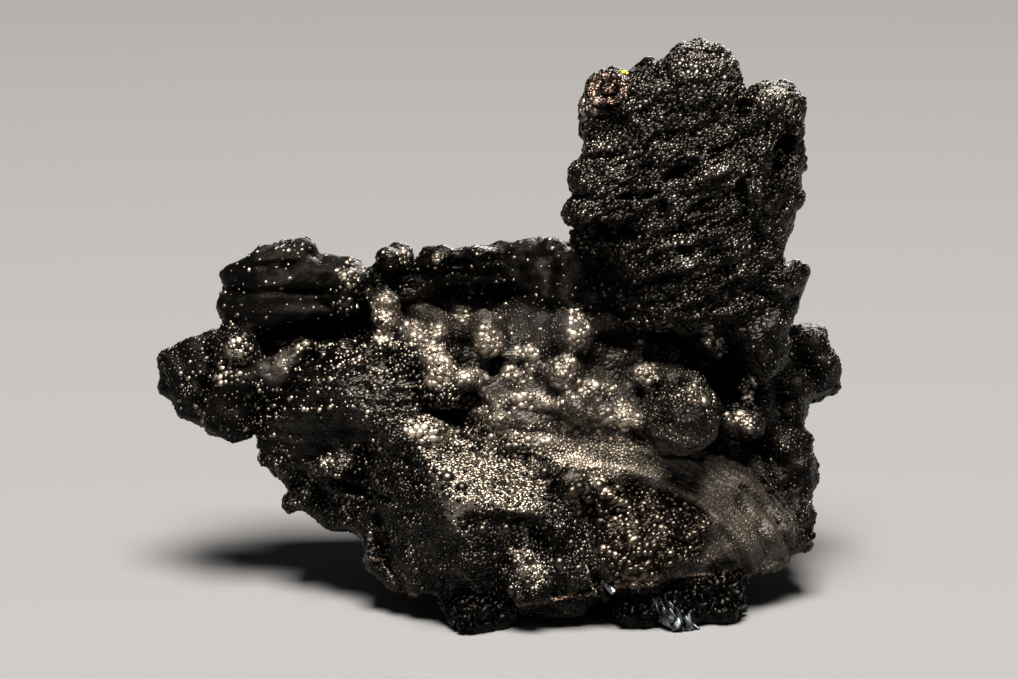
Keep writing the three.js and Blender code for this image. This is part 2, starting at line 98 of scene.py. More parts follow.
def view_of(points):
    """Where the front view sees some points: x to the right and y down, in steps."""
    away = points - EYE
    depth = away @ AHEAD
    x = VIEW_WIDE / 2 + (away @ RIGHT) / depth * STEPS
    y = VIEW_HIGH / 2 - (away @ UPWARD) / depth * STEPS
    return x, y


def seen(tree, x, y):
    """The place and the normal of the surface that the front view shows at x, y."""
    ray = AHEAD + RIGHT * (x - VIEW_WIDE / 2) / STEPS - UPWARD * (y - VIEW_HIGH / 2) / STEPS
    place, normal, _, _ = tree.ray_cast(Vector(EYE), Vector(ray).normalized())
    return place, normal


print("steps in a millimetre:", round(STEPS / AWAY * MM, 2))

# %% [markdown]
# ## Points as arrays
# Hundreds of thousands of points are moved, so they go in and out of a mesh as arrays. A modifier is
# added and applied at once, so that the next step works on its result.

# %% Work with a mesh's points
def pick(piece):
    bpy.ops.object.select_all(action="DESELECT")
    piece.select_set(True)
    bpy.context.view_layer.objects.active = piece


def values_of(items, name, width=3, kind=np.float32):
    """What a mesh keeps for its points, edges or faces, a row for each."""
    flat = np.empty(len(items) * width, kind)
    items.foreach_get(name, flat)
    return flat.reshape(-1, width)


def points_of(piece):
    return values_of(piece.data.vertices, "co").astype(float)


def normals_of(piece):
    return values_of(piece.data.vertex_normals, "vector").astype(float)


def triangles_of(piece):
    piece.data.calc_loop_triangles()
    return values_of(piece.data.loop_triangles, "vertices", kind=np.int32)


def put_points(piece, points):
    """Moves the points of a piece, none of them below the floor."""
    above = np.maximum(points, [-np.inf, -np.inf, 0])
    piece.data.vertices.foreach_set("co", above.astype(np.float32).ravel())
    piece.data.update()


def finish_with(piece, kind, **settings):
    """Adds a modifier with its settings and applies it."""
    pick(piece)
    modifier = piece.modifiers.new(kind.lower(), kind)
    for name, value in settings.items():
        setattr(modifier, name, value)
    bpy.ops.object.modifier_apply(modifier=modifier.name)


def edit(piece, *steps, faces=None):
    """Takes steps in edit mode, with all faces chosen or only some of them."""
    pick(piece)
    bpy.ops.object.mode_set(mode="EDIT")
    bpy.ops.mesh.select_mode(type="FACE")
    bpy.ops.mesh.select_all(action="SELECT" if faces is None else "DESELECT")
    if faces is not None:
        bpy.ops.object.mode_set(mode="OBJECT")
        piece.data.polygons.foreach_set("select", faces)
        bpy.ops.object.mode_set(mode="EDIT")
    for step in steps:
        step()
    bpy.ops.object.mode_set(mode="OBJECT")


print("the frame's mesh has", len(points_of(cad)), "points")

# %% [markdown]
# ## Two kinds of noise
# A soft noise makes lines wander and tones vary. A noise of cells makes the rounded lobes and beads
# that goethite grows in. Texture modifiers have both, but here they also steer where beads stand, so
# they are worked out as numbers, from whole numbers alone, and never change.

# %% Noise
def scramble(cell, seed):
    """A number from 0 to 1 for each whole-numbered cell."""
    mixed = cell[..., 0] * 73856093 ^ cell[..., 1] * 19349663 ^ cell[..., 2] * 83492791
    mixed = (mixed ^ (seed * 2654435761)) & 0xFFFFFFFF
    mixed = ((mixed ^ (mixed >> 15)) * 2246822519) & 0xFFFFFFFF
    mixed = ((mixed ^ (mixed >> 13)) * 3266489917) & 0xFFFFFFFF
    return ((mixed ^ (mixed >> 16)) & 0xFFFF) / 65535.0


def soft_noise(points, size, seed):
    """Smooth noise from -1 to 1, with lumps about as large as size."""
    grid = points / size
    cell = np.floor(grid).astype(np.int64)
    part = grid - cell
    part = part * part * (3 - 2 * part)
    total = np.zeros(len(points))
    for corner in np.ndindex(2, 2, 2):
        share = np.prod(np.where(corner, part, 1 - part), axis=1)
        total += share * scramble(cell + np.array(corner), seed)
    return total * 2 - 1


def cell_noise(points, size, seed):
    """The distance to the nearest of points strewn about size apart, in sizes, and its own number."""
    grid = points / size
    cell = np.floor(grid).astype(np.int64)
    nearest = np.full(len(points), 9.0)
    number = np.zeros(len(points))
    for step in np.ndindex(3, 3, 3):
        home = cell + np.array(step) - 1
        spot = np.stack([scramble(home, seed + axis) for axis in range(3)], axis=1) + home
        gap = np.linalg.norm(grid - spot, axis=1)
        number = np.where(gap < nearest, scramble(home, seed + 3), number)
        nearest = np.minimum(nearest, gap)
    return nearest, number


def ramp(values, start, end):
    """0 up to start, 1 from end on, and smooth between them; it falls where end is the smaller."""
    part = np.clip((values - start) / (end - start), 0, 1)
    return part * part * (3 - 2 * part)


def near(values, reach, full=0):
    """1 where values are within full of zero, and 0 beyond the reach."""
    return ramp(np.abs(values), reach, full)


print("soft noise at the eye:", soft_noise(EYE[None], MM, 1).round(2))

# %% [markdown]
# ## Regions of the front view
# Each part of the stone has its own growth, beads and finish. It is drawn as an outline on the front
# view, like a lasso, and a soft edge lets one part run into the next.

# %% Outlines of the parts
REGIONS = {
    "blade": [(578, 108), (590, 60), (640, 64), (690, 36), (755, 60), (812, 80), (812, 240),
              (800, 300), (640, 335), (590, 262), (556, 226), (560, 190)],
    "saddle": [(500, 235), (600, 240), (650, 335), (512, 335)],
    "plate": [(250, 440), (258, 372), (300, 332), (400, 328), (445, 345), (466, 385), (455, 412),
              (385, 428), (365, 475), (262, 465)],
    "low_shelf": [(255, 440), (375, 450), (392, 600), (285, 530)],
    "left_point": [(145, 320), (262, 322), (270, 445), (145, 445)],
    "block": [(205, 230), (370, 232), (372, 340), (210, 340)],
    "ridge": [(370, 235), (575, 232), (520, 322), (370, 305)],
    "knobs": [(365, 292), (450, 300), (520, 305), (605, 318), (695, 365), (690, 402), (640, 432),
              (560, 432), (478, 428), (460, 388), (402, 340)],
    "shield": [(376, 418), (440, 412), (500, 430), (560, 463), (580, 520), (607, 590), (612, 625),
               (395, 610), (366, 500)],
    "fan": [(478, 420), (560, 424), (650, 428), (720, 436), (765, 465), (806, 540), (800, 572),
            (745, 588), (650, 592), (604, 606), (607, 590), (580, 520), (560, 463), (500, 430)],
    "cone": [(640, 400), (660, 372), (700, 372), (724, 400), (716, 440), (680, 458), (648, 440)],
    "right_lobes": [(768, 312), (850, 312), (850, 560), (800, 560), (765, 480)],
    "patch": [(420, 440), (442, 430), (466, 429), (490, 440), (512, 444), (532, 456), (541, 470),
              (545, 490), (548, 514), (514, 510), (484, 506), (464, 511), (455, 528), (448, 514),
              (438, 490), (428, 465)],
    "low_patch": [(503, 529), (522, 525), (533, 545), (544, 576), (530, 588), (516, 570), (508, 550)],
    "berry": [(566, 482), (600, 476), (650, 486), (690, 501), (712, 522), (700, 560), (650, 584),
              (608, 590), (598, 545), (582, 515)],
    "slope": [(476, 420), (520, 430), (600, 436), (650, 446), (668, 474), (600, 470), (560, 462),
              (500, 434)],
    "bare_strip": [(290, 422), (380, 418), (372, 458), (300, 458)],
    "left_foot": [(445, 598), (510, 606), (512, 640), (445, 640)],
    "right_foot": [(604, 592), (650, 588), (745, 574), (748, 640), (604, 640)],
}
print("regions drawn:", len(REGIONS))


# %% Inside a region
def inside(x, y, *names, soft=6.0):
    """1 inside any of the named regions, 0 outside, soft across their edges."""
    total = np.zeros(len(x))
    for name in names:
        corners = np.array(REGIONS[name], float)
        nearest = np.full(len(x), 1e9)
        crossings = np.zeros(len(x), int)
        for (ax, ay), (bx, by) in zip(corners, np.roll(corners, -1, axis=0)):
            wide, high = bx - ax, by - ay
            along = np.clip(((x - ax) * wide + (y - ay) * high) / (wide ** 2 + high ** 2), 0, 1)
            nearest = np.minimum(nearest, np.hypot(x - ax - along * wide, y - ay - along * high))
            level_side = (x - ax) < wide * (y - ay) / (high if high else 1e-9)
            crossings += ((ay > y) != (by > y)) & level_side
        signed = np.where(crossings % 2 == 1, nearest, -nearest)
        total = np.maximum(total, ramp(signed, -soft, soft))
    return total


def in_oval(x, y, mark):
    """How far down a tilted oval each point is, and how far out, in the oval's half sizes.

    A mark starts with x, y, half width and half height, and may go on with a roll in degrees."""
    middle_x, middle_y, wide, high, roll = (*mark, 0)[:5]
    turn_x, turn_y = math.cos(math.radians(roll)), -math.sin(math.radians(roll))
    side = ((x - middle_x) * turn_x + (y - middle_y) * turn_y) / wide
    down = ((y - middle_y) * turn_x - (x - middle_x) * turn_y) / high
    return down, np.hypot(side, down)


def in_ovals(x, y, marks, reach=1.25, soft=0.5):
    """1 inside any of some ovals, 0 outside the reach, which is in their half sizes."""
    total = np.zeros(len(x))
    for mark in marks:
        total = np.maximum(total, ramp(reach - in_oval(x, y, mark)[1], 0, soft))
    return total


BROKEN_TIP = (608, 89)
FAN_MIDDLE = (600, 640)


def from_tip(x, y):
    return np.hypot((x - BROKEN_TIP[0]) / 1.15, (y - BROKEN_TIP[1]) * 1.05)


def from_fan(x, y):
    return np.hypot(x - FAN_MIDDLE[0], y - FAN_MIDDLE[1])


def rim_line(x):
    """How far down the front view the lower rim of the shield and the fan runs."""
    return np.interp(x, [380, 400, 440, 500, 545, 600, 625, 650, 680, 700, 745, 790, 815],
                     [560, 592, 601, 614, 600, 592, 584, 580, 573, 575, 577, 556, 530])


def front_of(piece, turned=-0.2, facing=0.35):
    """0 where a piece is turned away from the front view, and 1 where it faces it."""
    return ramp(-(normals_of(piece) @ AHEAD), turned, facing)


x, y = view_of(points_of(cad))
print("share of the frame's points in the blade:", inside(x, y, "blade").mean().round(2))

# %% [markdown]
# ## The mass
# On the real stone the crust rounds every edge. So a copy of the frame's mesh is merged, small
# half-sunk balls are strewn over it, and a voxel remesh melts all of it into one skin. Sculpting by
# hand would do as well, but this can be repeated.

# %% Copy and merge the frame's mesh
pick(cad)
growth = cad.copy()
growth.data = cad.data.copy()
growth.name = growth.data.name = "growth"
bpy.context.collection.objects.link(growth)
edit(growth, lambda: bpy.ops.mesh.remove_doubles(threshold=0.001 * MM))
print("growth starts with", len(growth.data.vertices), "points")


# %% One shape, made once, and copies of it
def shape_of(made):
    """The points and faces of an object that is only a pattern, which is then removed."""
    points = points_of(made)
    faces = np.array([face.vertices[:] for face in made.data.polygons])
    bpy.data.objects.remove(made)
    return points, faces


def new_ball(detail):
    bpy.ops.mesh.primitive_ico_sphere_add(subdivisions=detail, radius=1)
    return bpy.context.object


def ball(detail):
    return shape_of(new_ball(detail))


def copies(name, shape, places, ups, sizes, alongs=None):
    """One smooth mesh of many copies of a shape, each sized along, across and up its own normal."""
    points, faces = shape
    ups = ups / np.linalg.norm(ups, axis=1, keepdims=True)
    if alongs is None:
        alongs = np.roll(ups, 1, axis=1) + 0.3
    alongs = alongs - ups * np.sum(alongs * ups, axis=1, keepdims=True)
    alongs = alongs / np.linalg.norm(alongs, axis=1, keepdims=True)
    turns = np.stack([alongs, np.cross(ups, alongs), ups], axis=1)
    scaled = points[None] * sizes[:, None, :]
    moved = np.einsum("bpi,bij->bpj", scaled, turns) + places[:, None, :]
    corners = faces[None] + np.arange(len(places))[:, None, None] * len(points)
    mesh = bpy.data.meshes.new(name)
    mesh.from_pydata(moved.reshape(-1, 3), [], corners.reshape(-1, 3), shade_flat=False)
    piece = bpy.data.objects.new(name, mesh)
    bpy.context.collection.objects.link(piece)
    return piece


# %% Spots strewn over a surface
# how many spots are tried for each square as wide as the gap
TRIES = 2.5


def strewn(piece, weight, gap, seed):
    """Spots over a surface, thicker where the weight is larger, none closer together than gap."""
    corners, points, normals = triangles_of(piece), points_of(piece), normals_of(piece)
    a, b, c = points[corners[:, 0]], points[corners[:, 1]], points[corners[:, 2]]
    area = np.linalg.norm(np.cross(b - a, c - a), axis=1) / 2
    share = area * weight[corners].mean(axis=1)
    tries = int(share.sum() / gap ** 2 * TRIES)
    chance = np.random.default_rng(seed)
    chosen = chance.choice(len(share), size=tries, p=share / share.sum())
    mix = chance.dirichlet((1, 1, 1), size=tries)[:, :, None]
    spots = (points[corners[chosen]] * mix).sum(axis=1)
    facing = (normals[corners[chosen]] * mix).sum(axis=1)
    kept, taken = [], {}
    for number, cell in enumerate(map(tuple, np.floor(spots / gap).astype(int))):
        around = ((cell[0] + i, cell[1] + j, cell[2] + k)
                  for i in (-1, 0, 1) for j in (-1, 0, 1) for k in (-1, 0, 1))
        ways = (spots[number] - spots[other] for place in around for other in taken.get(place, ()))
        if all(np.dot(way, way) > gap * gap for way in ways):
            taken.setdefault(cell, []).append(number)
            kept.append(number)
    return spots[kept], facing[kept]


# %% Lobes, half sunk in the mass
chance = np.random.default_rng(11)
x, y = view_of(points_of(growth))
FEWER_LOBES = {"fan": 0.35, "shield": 0.4, "plate": 0.35, "knobs": 0.4, "ridge": 0.3, "block": 0.3}
lobed = 0.5
for name, fewer in FEWER_LOBES.items():
    lobed = lobed - fewer * inside(x, y, name)
spots, facing = strewn(growth, np.clip(lobed, 0, 1), 1.5 * MM, 21)
radius = chance.uniform(0.55, 1.25, len(spots)) * MM
lobes = copies("lobes", ball(3), spots - facing * radius[:, None] * 0.35, facing,
               radius[:, None] * np.array([1.15, 1.0, 0.85]))
print("lobes:", len(spots))

# %% [markdown]
# ## Knobs and slopes
# The middle of the stone is a heap of round knobs. Each has its own place and size in the front view,
# and a ray finds the surface that it rests on. A few broad bulges are made the same way. Below the
# knobs, slanting swells run down to the fan.

# %% Knobs in their own places
# x and y in the front view, and the radius, all in its steps
KNOBS = [
    (385, 304, 13), (383, 322, 15), (416, 331, 13), (438, 334, 13), (462, 313, 10), (488, 327, 13),
    (490, 346, 15), (507, 322, 9), (576, 333, 20), (548, 342, 17), (530, 354, 12), (515, 373, 11),
    (533, 370, 8), (560, 374, 18), (468, 381, 13), (590, 388, 13), (612, 392, 11), (642, 376, 14),
    (662, 372, 9), (680, 372, 9), (484, 402, 10), (502, 399, 9), (522, 399, 10), (543, 403, 10),
    (580, 414, 11), (602, 411, 12), (623, 415, 14), (640, 424, 8), (570, 430, 8), (590, 431, 8),
    (612, 432, 8), (502, 419, 12), (402, 255, 10), (412, 270, 7), (437, 262, 11), (480, 256, 10),
    (516, 257, 11), (550, 250, 14), (348, 265, 12), (350, 285, 14), (345, 305, 12), (238, 350, 17),
    (322, 462, 9), (338, 474, 9), (785, 275, 14), (800, 283, 9), (790, 308, 8), (712, 330, 6),
    (748, 385, 9), (728, 418, 11), (745, 428, 10), (812, 345, 18), (822, 364, 16), (800, 387, 17),
    (786, 445, 18), (800, 466, 16), (780, 480, 13), (800, 515, 11), (806, 536, 9), (298, 349, 6),
    (438, 370, 12), (424, 352, 9), (600, 615, 9), (580, 608, 9), (560, 604, 8),
]
BULGES = [(682, 408, 33), (528, 560, 26), (470, 566, 24), (575, 566, 20), (694, 78, 36), (598, 512, 20)]


def on_surface(piece, places, sink):
    """Where balls that the front view shows at some places rest, sunk by a share of their radius."""
    tree = BVHTree.FromObject(piece, bpy.context.evaluated_depsgraph_get())
    spots, facing, radius = [], [], []
    for x, y, steps in places:
        spot, normal = seen(tree, x, y)
        if spot is None:
            continue
        size = steps * (spot - Vector(EYE)).dot(Vector(AHEAD)) / STEPS
        spots.append(np.array(spot) - np.array(normal) * size * sink)
        facing.append(np.array(normal))
        radius.append(size)
    return np.array(spots), np.array(facing), np.array(radius)


def placed(name, shape, places, sink, stretched=(1.0, 1.0, 1.0)):
    """Copies of a shape in their own places on the growth, stretched along, across and up."""
    spots, facing, radius = on_surface(growth, places, sink)
    print(name, len(spots))
    return copies(name, shape, spots, facing, radius[:, None] * np.array(stretched))


knobs = placed("knobs", ball(3), KNOBS, 0.45, (1.0, 1.0, 1.15))
bulges = placed("bulges", ball(3), BULGES, 0.62)

# %% Slopes that join the knobs to the fan
# right of the middle, above the foot and behind the front, then half the width, height and depth,
# all in mm, and the roll in degrees
SLOPES = np.array([(2.6, 18.3, 4.2, 6.0, 2.2, 2.7, -8), (9.4, 17.6, 4.4, 6.6, 2.4, 2.6, -16),
                   (15.6, 15.8, 5.2, 5.0, 2.4, 2.4, -30)])
# where zero lies on those three axes
FOOT = np.array([-0.0924, -13.932, 0])
spots = (SLOPES[:, :3] @ np.stack([RIGHT, UPWARD, AHEAD]) + FOOT) * MM
rolls = np.radians(SLOPES[:, 6:])
slopes = copies("slopes", ball(4), spots, np.tile(-AHEAD, (len(spots), 1)), SLOPES[:, 3:6] * MM,
                np.cos(rolls) * RIGHT + np.sin(rolls) * UPWARD)
print("slopes:", len(spots))

# %% Melt them into one skin
VOXEL = 0.42 * MM
pick(growth)
for part in (lobes, knobs, bulges, slopes):
    part.select_set(True)
bpy.ops.object.join()
finish_with(growth, "REMESH", mode="VOXEL", voxel_size=VOXEL)
finish_with(growth, "SMOOTH", factor=0.5, iterations=2)
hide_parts("goethite")
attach(growth, "root")
print("skin:", len(growth.data.polygons), "faces")

# %% [markdown]
# ## A finer grid at the front
# The growth lines are half a millimetre apart, so the front gets a finer grid. The back keeps the
# coarse one, and so the piece can stay under 200,000 triangles.

# %% Divide the front finer
to_the_front = -(values_of(growth.data.polygons, "normal") @ AHEAD) > 0.02
edit(growth, lambda: bpy.ops.mesh.subdivide(number_cuts=1), faces=to_the_front)
finish_with(growth, "SMOOTH", factor=0.5, iterations=2)
print("growth:", len(triangles_of(growth)), "triangles")

# %% [markdown]
# ## Growth lines and ledges
# Goethite grows outward in steps. The blade has ledges that climb to the right, each with a proud
# lower edge; the ridge, the block and the plate have nearly level ribs; the fan has arcs about one
# centre, like the rings of a shell. Each is a height in millimetres along the surface's own normal,
# kept to its region, and all of them are put on the mesh together at the end. Displace modifiers
# could do most of this, but not a fan's arcs.

# %% What the heights are worked out from
points, normals = points_of(growth), normals_of(growth)
x, y = view_of(points)
front = front_of(growth)
across, up, deep = (points @ axis / MM for axis in (RIGHT, UPWARD, AHEAD))
TILT = math.radians(27)
climb = up * math.cos(TILT) - across * math.sin(TILT)
along = across * math.cos(TILT) + up * math.sin(TILT)
# the size and the seed of the noise that makes lines wander
WANDER, FINE_WANDER = (3.2 * MM, 3), (1.3 * MM, 4)
wander, wander_fine = soft_noise(points, *WANDER), soft_noise(points, *FINE_WANDER)
print("points that face the front:", int((front > 0.5).sum()))


# %% Ledges, ribs and domes
def ledges(place, period, sharp=0.2):
    """Steps with a proud lower edge, from 0 to 1."""
    phase = np.mod(place / period, 1)
    return (1 - phase) * ramp(phase, 0, sharp)


def waves(place, period):
    return np.cos(place / period * 2 * math.pi)


def ribs(place, period):
    """Round ribs from 0 to 1."""
    return 0.5 + 0.5 * waves(place, period)


def domes(size, seed, stretch=1.0):
    """Rounded lobes packed together, from 0 to 1, longer along the ledges by the stretch."""
    turned = np.stack([along / stretch, climb, deep], axis=1) * MM
    from_middle, _ = cell_noise(turned, size * MM, seed)
    return np.sqrt(np.clip(1 - from_middle * from_middle, 0, 1))


# %% The blade
_, broken = cell_noise(np.stack([along / 2.2, climb, deep], axis=1) * MM, 2.4 * MM, 8)
height = 0.14 * soft_noise(points, 2.3 * MM, 5) + 0.05 * soft_noise(points, 0.9 * MM, 6)
on_blade = inside(x, y, "blade") * front
left_part = ramp(x, 775, 725)
steps = 0.4 * left_part * ledges(climb + 1.1 * wander + 1.5 * broken, 2.1)
steps += 0.34 * domes(1.3, 32, 1.8) + 0.5 * domes(3.0, 33, 1.5)
height += on_blade * (steps - 0.75 + 0.2 * domes(0.62, 31, 1.4))
upright_grooves = ramp(x, 735, 760) * ramp(y, 250, 215)
height += on_blade * upright_grooves * 0.12 * ribs(across + 0.5 * wander, 0.9)
print("blade from", round(height.min(), 2), "to", round(height.max(), 2), "mm")

# %% The plate, the block and the ridge
on_plate = inside(x, y, "plate", "low_shelf") * front
level = up + 0.06 * across
height += on_plate * (0.1 * ribs(level + 0.4 * wander, 1.3) + 0.04 * ribs(level + 0.1 * wander, 0.5) - 0.05)
on_bars = inside(x, y, "block", "ridge") * front
height += on_bars * (0.09 * ribs(up - 0.04 * across + 0.3 * wander, 1.2) + 0.16 * domes(1.2, 35, 2.0)
                     + 0.1 * domes(0.6, 36, 1.5) - 0.17)

# %% The knobs and the cone
on_knobs = inside(x, y, "knobs", "cone") * front
height += on_knobs * (0.12 * domes(1.1, 41) + 0.08 * domes(0.6, 42) - 0.12)
height += inside(x, y, "cone") * front * (0.5 * domes(1.9, 43) + 0.45 * domes(1.0, 44) - 0.55)

# %% The fan, its lips and its berry-like part
# how far apart its arcs lie, and how far its two lips lie from its middle, in steps
ARC_GAP, UPPER_LIP, LOWER_LIP = 5.5, 170, 202
on_fan = inside(x, y, "fan") * front
ring = from_fan(x, y)
arcs = 0.16 * ledges(ring + 7 * wander, 19) + 0.09 * ribs(ring + 4 * wander, ARC_GAP)
height += on_fan * ramp(x, 600, 680) * (arcs - 0.1)
lip = 0.25 * near(ring - UPPER_LIP, 7)
lip -= 0.5 * ramp(ring, UPPER_LIP - 2, UPPER_LIP - 6) * ramp(ring, 120, 150)
lip += 0.2 * near(ring - LOWER_LIP, 5) - 0.3 * near(ring - (LOWER_LIP + 9), 4)
height += on_fan * lip * ramp(x, 560, 600)
height += inside(x, y, "berry") * front * (0.55 * domes(1.5, 91) + 0.35 * domes(0.85, 92) - 0.45)

# %% The shield and its hollow below the bright patch
on_shield = inside(x, y, "shield") * front
on_patch = np.maximum(inside(x, y, "patch"), 0.6 * inside(x, y, "low_patch")) * front
height += on_shield * (1 - on_patch) * (0.16 * domes(1.1, 51) + 0.1 * domes(0.5, 52) - 0.14)
below = y - (512 + 0.04 * (x - 460))
hollow_below = ramp(below, 0, 5) * ramp(below, 34, 8) * ramp(x, 458, 474) * ramp(x, 540, 512)
height -= on_shield * 0.6 * hollow_below
elsewhere = 1 - np.clip(on_blade + on_plate + on_bars + on_knobs + on_fan + on_shield, 0, 1)
height += elsewhere * (0.3 * domes(2.1, 61) + 0.18 * domes(0.95, 62) - 0.3)
print("all parts from", round(height.min(), 2), "to", round(height.max(), 2), "mm")

# %% [markdown]
# ## Dents, swellings and tilted places
# Between the ledges are deep slots and holes, and some ledges swell. Each is an oval on the front
# view, with its depth. Other ovals tilt the surface to face up, because a ledge whose top faces the
# light is bright, and its underside is black. By hand these would be strokes of a brush.

# %% Dents and swellings
# x, y, half width, half height, roll in degrees, depth in mm; a negative depth is a swelling
DENTS = [
    (676, 173, 13, 5, 22, 0.9), (664, 137, 14, 5, 25, 0.6), (716, 152, 11, 4, 25, 0.6),
    (783, 152, 8, 15, -22, 2.2), (662, 211, 5, 9, 0, 0.7), (612, 236, 32, 10, 6, 1.2),
    (636, 196, 22, 4, 8, 0.9), (600, 226, 30, 4, 4, 0.7), (600, 157, 22, 4, 8, 0.6),
    (716, 254, 12, 5, 20, 0.6), (660, 281, 22, 5, 12, 0.7), (742, 196, 5, 16, 10, 0.4),
    (760, 240, 6, 14, 12, 0.4), (700, 205, 18, 4, 24, 0.5), (745, 106, 6, 12, -35, 0.8),
    (640, 150, 20, 8, 20, -0.5), (640, 178, 18, 7, 20, -0.4), (718, 175, 20, 8, 25, -0.5),
    (700, 240, 26, 8, 20, -0.5), (690, 305, 30, 8, 18, -0.4), (700, 75, 20, 16, 0, -0.3),
    (495, 370, 6, 6, 0, 0.8), (464, 420, 22, 7, -12, 1.0), (590, 515, 7, 7, 0, 0.9),
    (424, 578, 13, 13, 0, 0.3), (270, 291, 50, 3, -3, 0.3), (285, 262, 34, 3, 8, 0.2),
    (395, 285, 6, 14, 0, 0.6), (470, 262, 24, 3, 4, 0.3), (205, 384, 8, 34, -10, 0.5),
    (642, 440, 14, 6, -30, 0.6), (655, 392, 5, 16, -20, 0.6), (690, 452, 26, 5, 4, 0.8),
    (528, 552, 24, 30, 0, 0.5), (415, 480, 10, 34, 15, 0.4), (380, 540, 8, 30, 10, 0.5),
    (352, 489, 36, 5, -17, 1.3), (690, 548, 14, 4, -35, 0.3), (762, 540, 5, 22, 20, 0.4),
    (740, 500, 5, 26, 38, 0.3),
]
for mark in DENTS:
    _, out = in_oval(x, y, mark)
    height -= front * mark[5] * ramp(1.5 - out, 0, 1.1)
print("dents and swellings:", len(DENTS))

# %% Places that face up more
# as above, but the last number is how far the lower edge comes forward
TILTED = [
    (560, 452, 80, 24, -8, 1.25), (528, 562, 24, 36, 0, 2.3), (640, 532, 50, 44, 0, 0.9),
    (738, 500, 44, 60, 20, 0.7), (350, 385, 80, 45, 0, 0.6), (640, 155, 24, 9, 20, 0.5),
    (716, 170, 26, 8, 25, 0.5), (700, 232, 52, 10, 15, 0.5), (680, 262, 24, 8, 20, 0.4),
    (732, 272, 16, 8, 20, 0.4), (705, 308, 36, 9, 10, 0.4), (620, 192, 26, 10, 8, 0.4),
    (682, 405, 22, 26, 20, 0.7), (450, 350, 16, 16, 0, 0.3),
]
for mark in TILTED:
    down, out = in_oval(x, y, mark)
    height += front * mark[5] * np.clip(down, -1, 1) * ramp(1.4 - out, 0, 0.8)
print("tilted places:", len(TILTED))

# %% [markdown]
# ## The broken tip, the bright patch and the rim
# At the blade's top left a rod has broken off, and has left a ring with a stub in its middle. The
# bright patch on the shield is pressed to the plane that fits it best, so all of it catches the
# light. The rim along the foot stands a little proud, like the lip of a pan.

# %% The broken tip
far = from_tip(x, y)
crater = 0.3 * near(far - 15, 5) - 0.8 * ramp(far, 12, 7) + 0.7 * ramp(far, 6, 2)
crater += 0.15 * ramp(far, 20, 14) * domes(0.7, 81)
height *= 1 - 0.7 * ramp(far, 24, 19) * front
height += front * crater

# %% The bright patch and the rim
pressed = inside(x, y, "patch") * front
middle = points[pressed > 0.5].mean(axis=0)
plane_normal = np.linalg.svd(points[pressed > 0.5] - middle, full_matrices=False)[2][2]
off_plane = (points - middle) @ plane_normal
points -= (0.75 * pressed * off_plane)[:, None] * plane_normal
height *= 1 - 0.75 * on_patch
height += 0.3 * front * near(y - rim_line(x) + 2.0 * wander_fine, 3)
put_points(growth, points + normals * height[:, None] * MM)
print("heights from", round(height.min(), 2), "to", round(height.max(), 2), "mm")

# %% Thin out the flat parts
MOST_TRIANGLES = 196000
finish_with(growth, "DECIMATE", ratio=MOST_TRIANGLES / len(triangles_of(growth)))
put_points(growth, points_of(growth))
bpy.ops.object.shade_smooth()
print("growth:", len(triangles_of(growth)), "triangles after thinning")

# %% [markdown]
# ## Painted masks
# The finish changes over the stone: hollows are painted dead black as shade, the bright patch, the
# knob groups and the slope get a painted highlight, the fan is brown, the broken rims are rusty and
# the broken tip is pinkish. Each is kept on the mesh as an attribute, which a material reads like
# vertex paint. A point is as hollow as a smoothed copy of the surface stands above it.

# %% How hollow each point is
def hollow_of(piece, rounds):
    points, normals = points_of(piece), normals_of(piece)
    a, b = values_of(piece.data.edges, "vertices", 2, np.int32).T
    count = np.bincount(a, minlength=len(points)) + np.bincount(b, minlength=len(points))
    smooth = points.copy()
    for _ in range(rounds):
        summed = np.stack([np.bincount(a, smooth[b, axis], len(points)) +
                           np.bincount(b, smooth[a, axis], len(points)) for axis in range(3)], axis=1)
        smooth = 0.3 * smooth + 0.7 * summed / np.maximum(count, 1)[:, None]
    return ((smooth - points) * normals).sum(axis=1) / MM


def keep_mask(piece, name, values):
    values = np.clip(values, 0, 1).astype(np.float32)
    piece.data.attributes.new(name, "FLOAT", "POINT").data.foreach_set("value", values)
    return values


hollow = keep_mask(growth, "hollow", 0.5 + 1.6 * hollow_of(growth, 4) + 0.55 * hollow_of(growth, 40))
print("hollow", [round(float(v), 2) for v in np.percentile(hollow, (2, 25, 50, 75, 98))])

# %% Groups of bright beads on the knobs
# x, y, half width, half height
CLUSTERS = [
    (698, 394, 10, 12), (632, 347, 20, 4), (708, 335, 5, 10), (722, 346, 4, 8), (748, 386, 7, 12),
    (462, 311, 8, 9), (488, 341, 14, 15), (527, 353, 12, 7), (578, 331, 14, 20), (516, 373, 14, 8),
    (561, 366, 17, 11), (592, 390, 22, 9), (645, 373, 12, 11), (620, 408, 16, 7), (623, 420, 16, 8),
    (583, 425, 22, 6), (530, 401, 30, 8), (480, 402, 20, 8), (502, 420, 11, 9), (739, 424, 12, 12),
    (471, 376, 16, 8), (438, 370, 15, 18), (385, 312, 12, 18), (587, 106, 9, 10), (238, 352, 13, 16),
    (228, 375, 16, 10), (437, 257, 5, 5), (404, 256, 5, 7), (350, 272, 11, 14), (430, 428, 26, 10),
    (592, 486, 16, 8), (418, 330, 12, 8), (300, 343, 6, 8), (440, 331, 8, 6), (432, 356, 12, 14),
    (385, 335, 10, 6), (560, 383, 10, 6), (600, 420, 14, 6), (520, 440, 30, 7),
]
DIM_CLUSTERS = [
    (694, 400, 22, 24), (700, 62, 30, 20), (775, 102, 26, 16), (325, 466, 16, 12), (290, 250, 14, 8),
    (348, 292, 14, 22), (228, 350, 26, 22), (700, 102, 30, 12), (745, 428, 14, 10),
]
BROWN_LUMPS = [(274, 368, 14, 15), (290, 356, 13, 8)]


def bright_patch(x, y):
    return np.maximum(inside(x, y, "patch", soft=3), inside(x, y, "low_patch", soft=4))


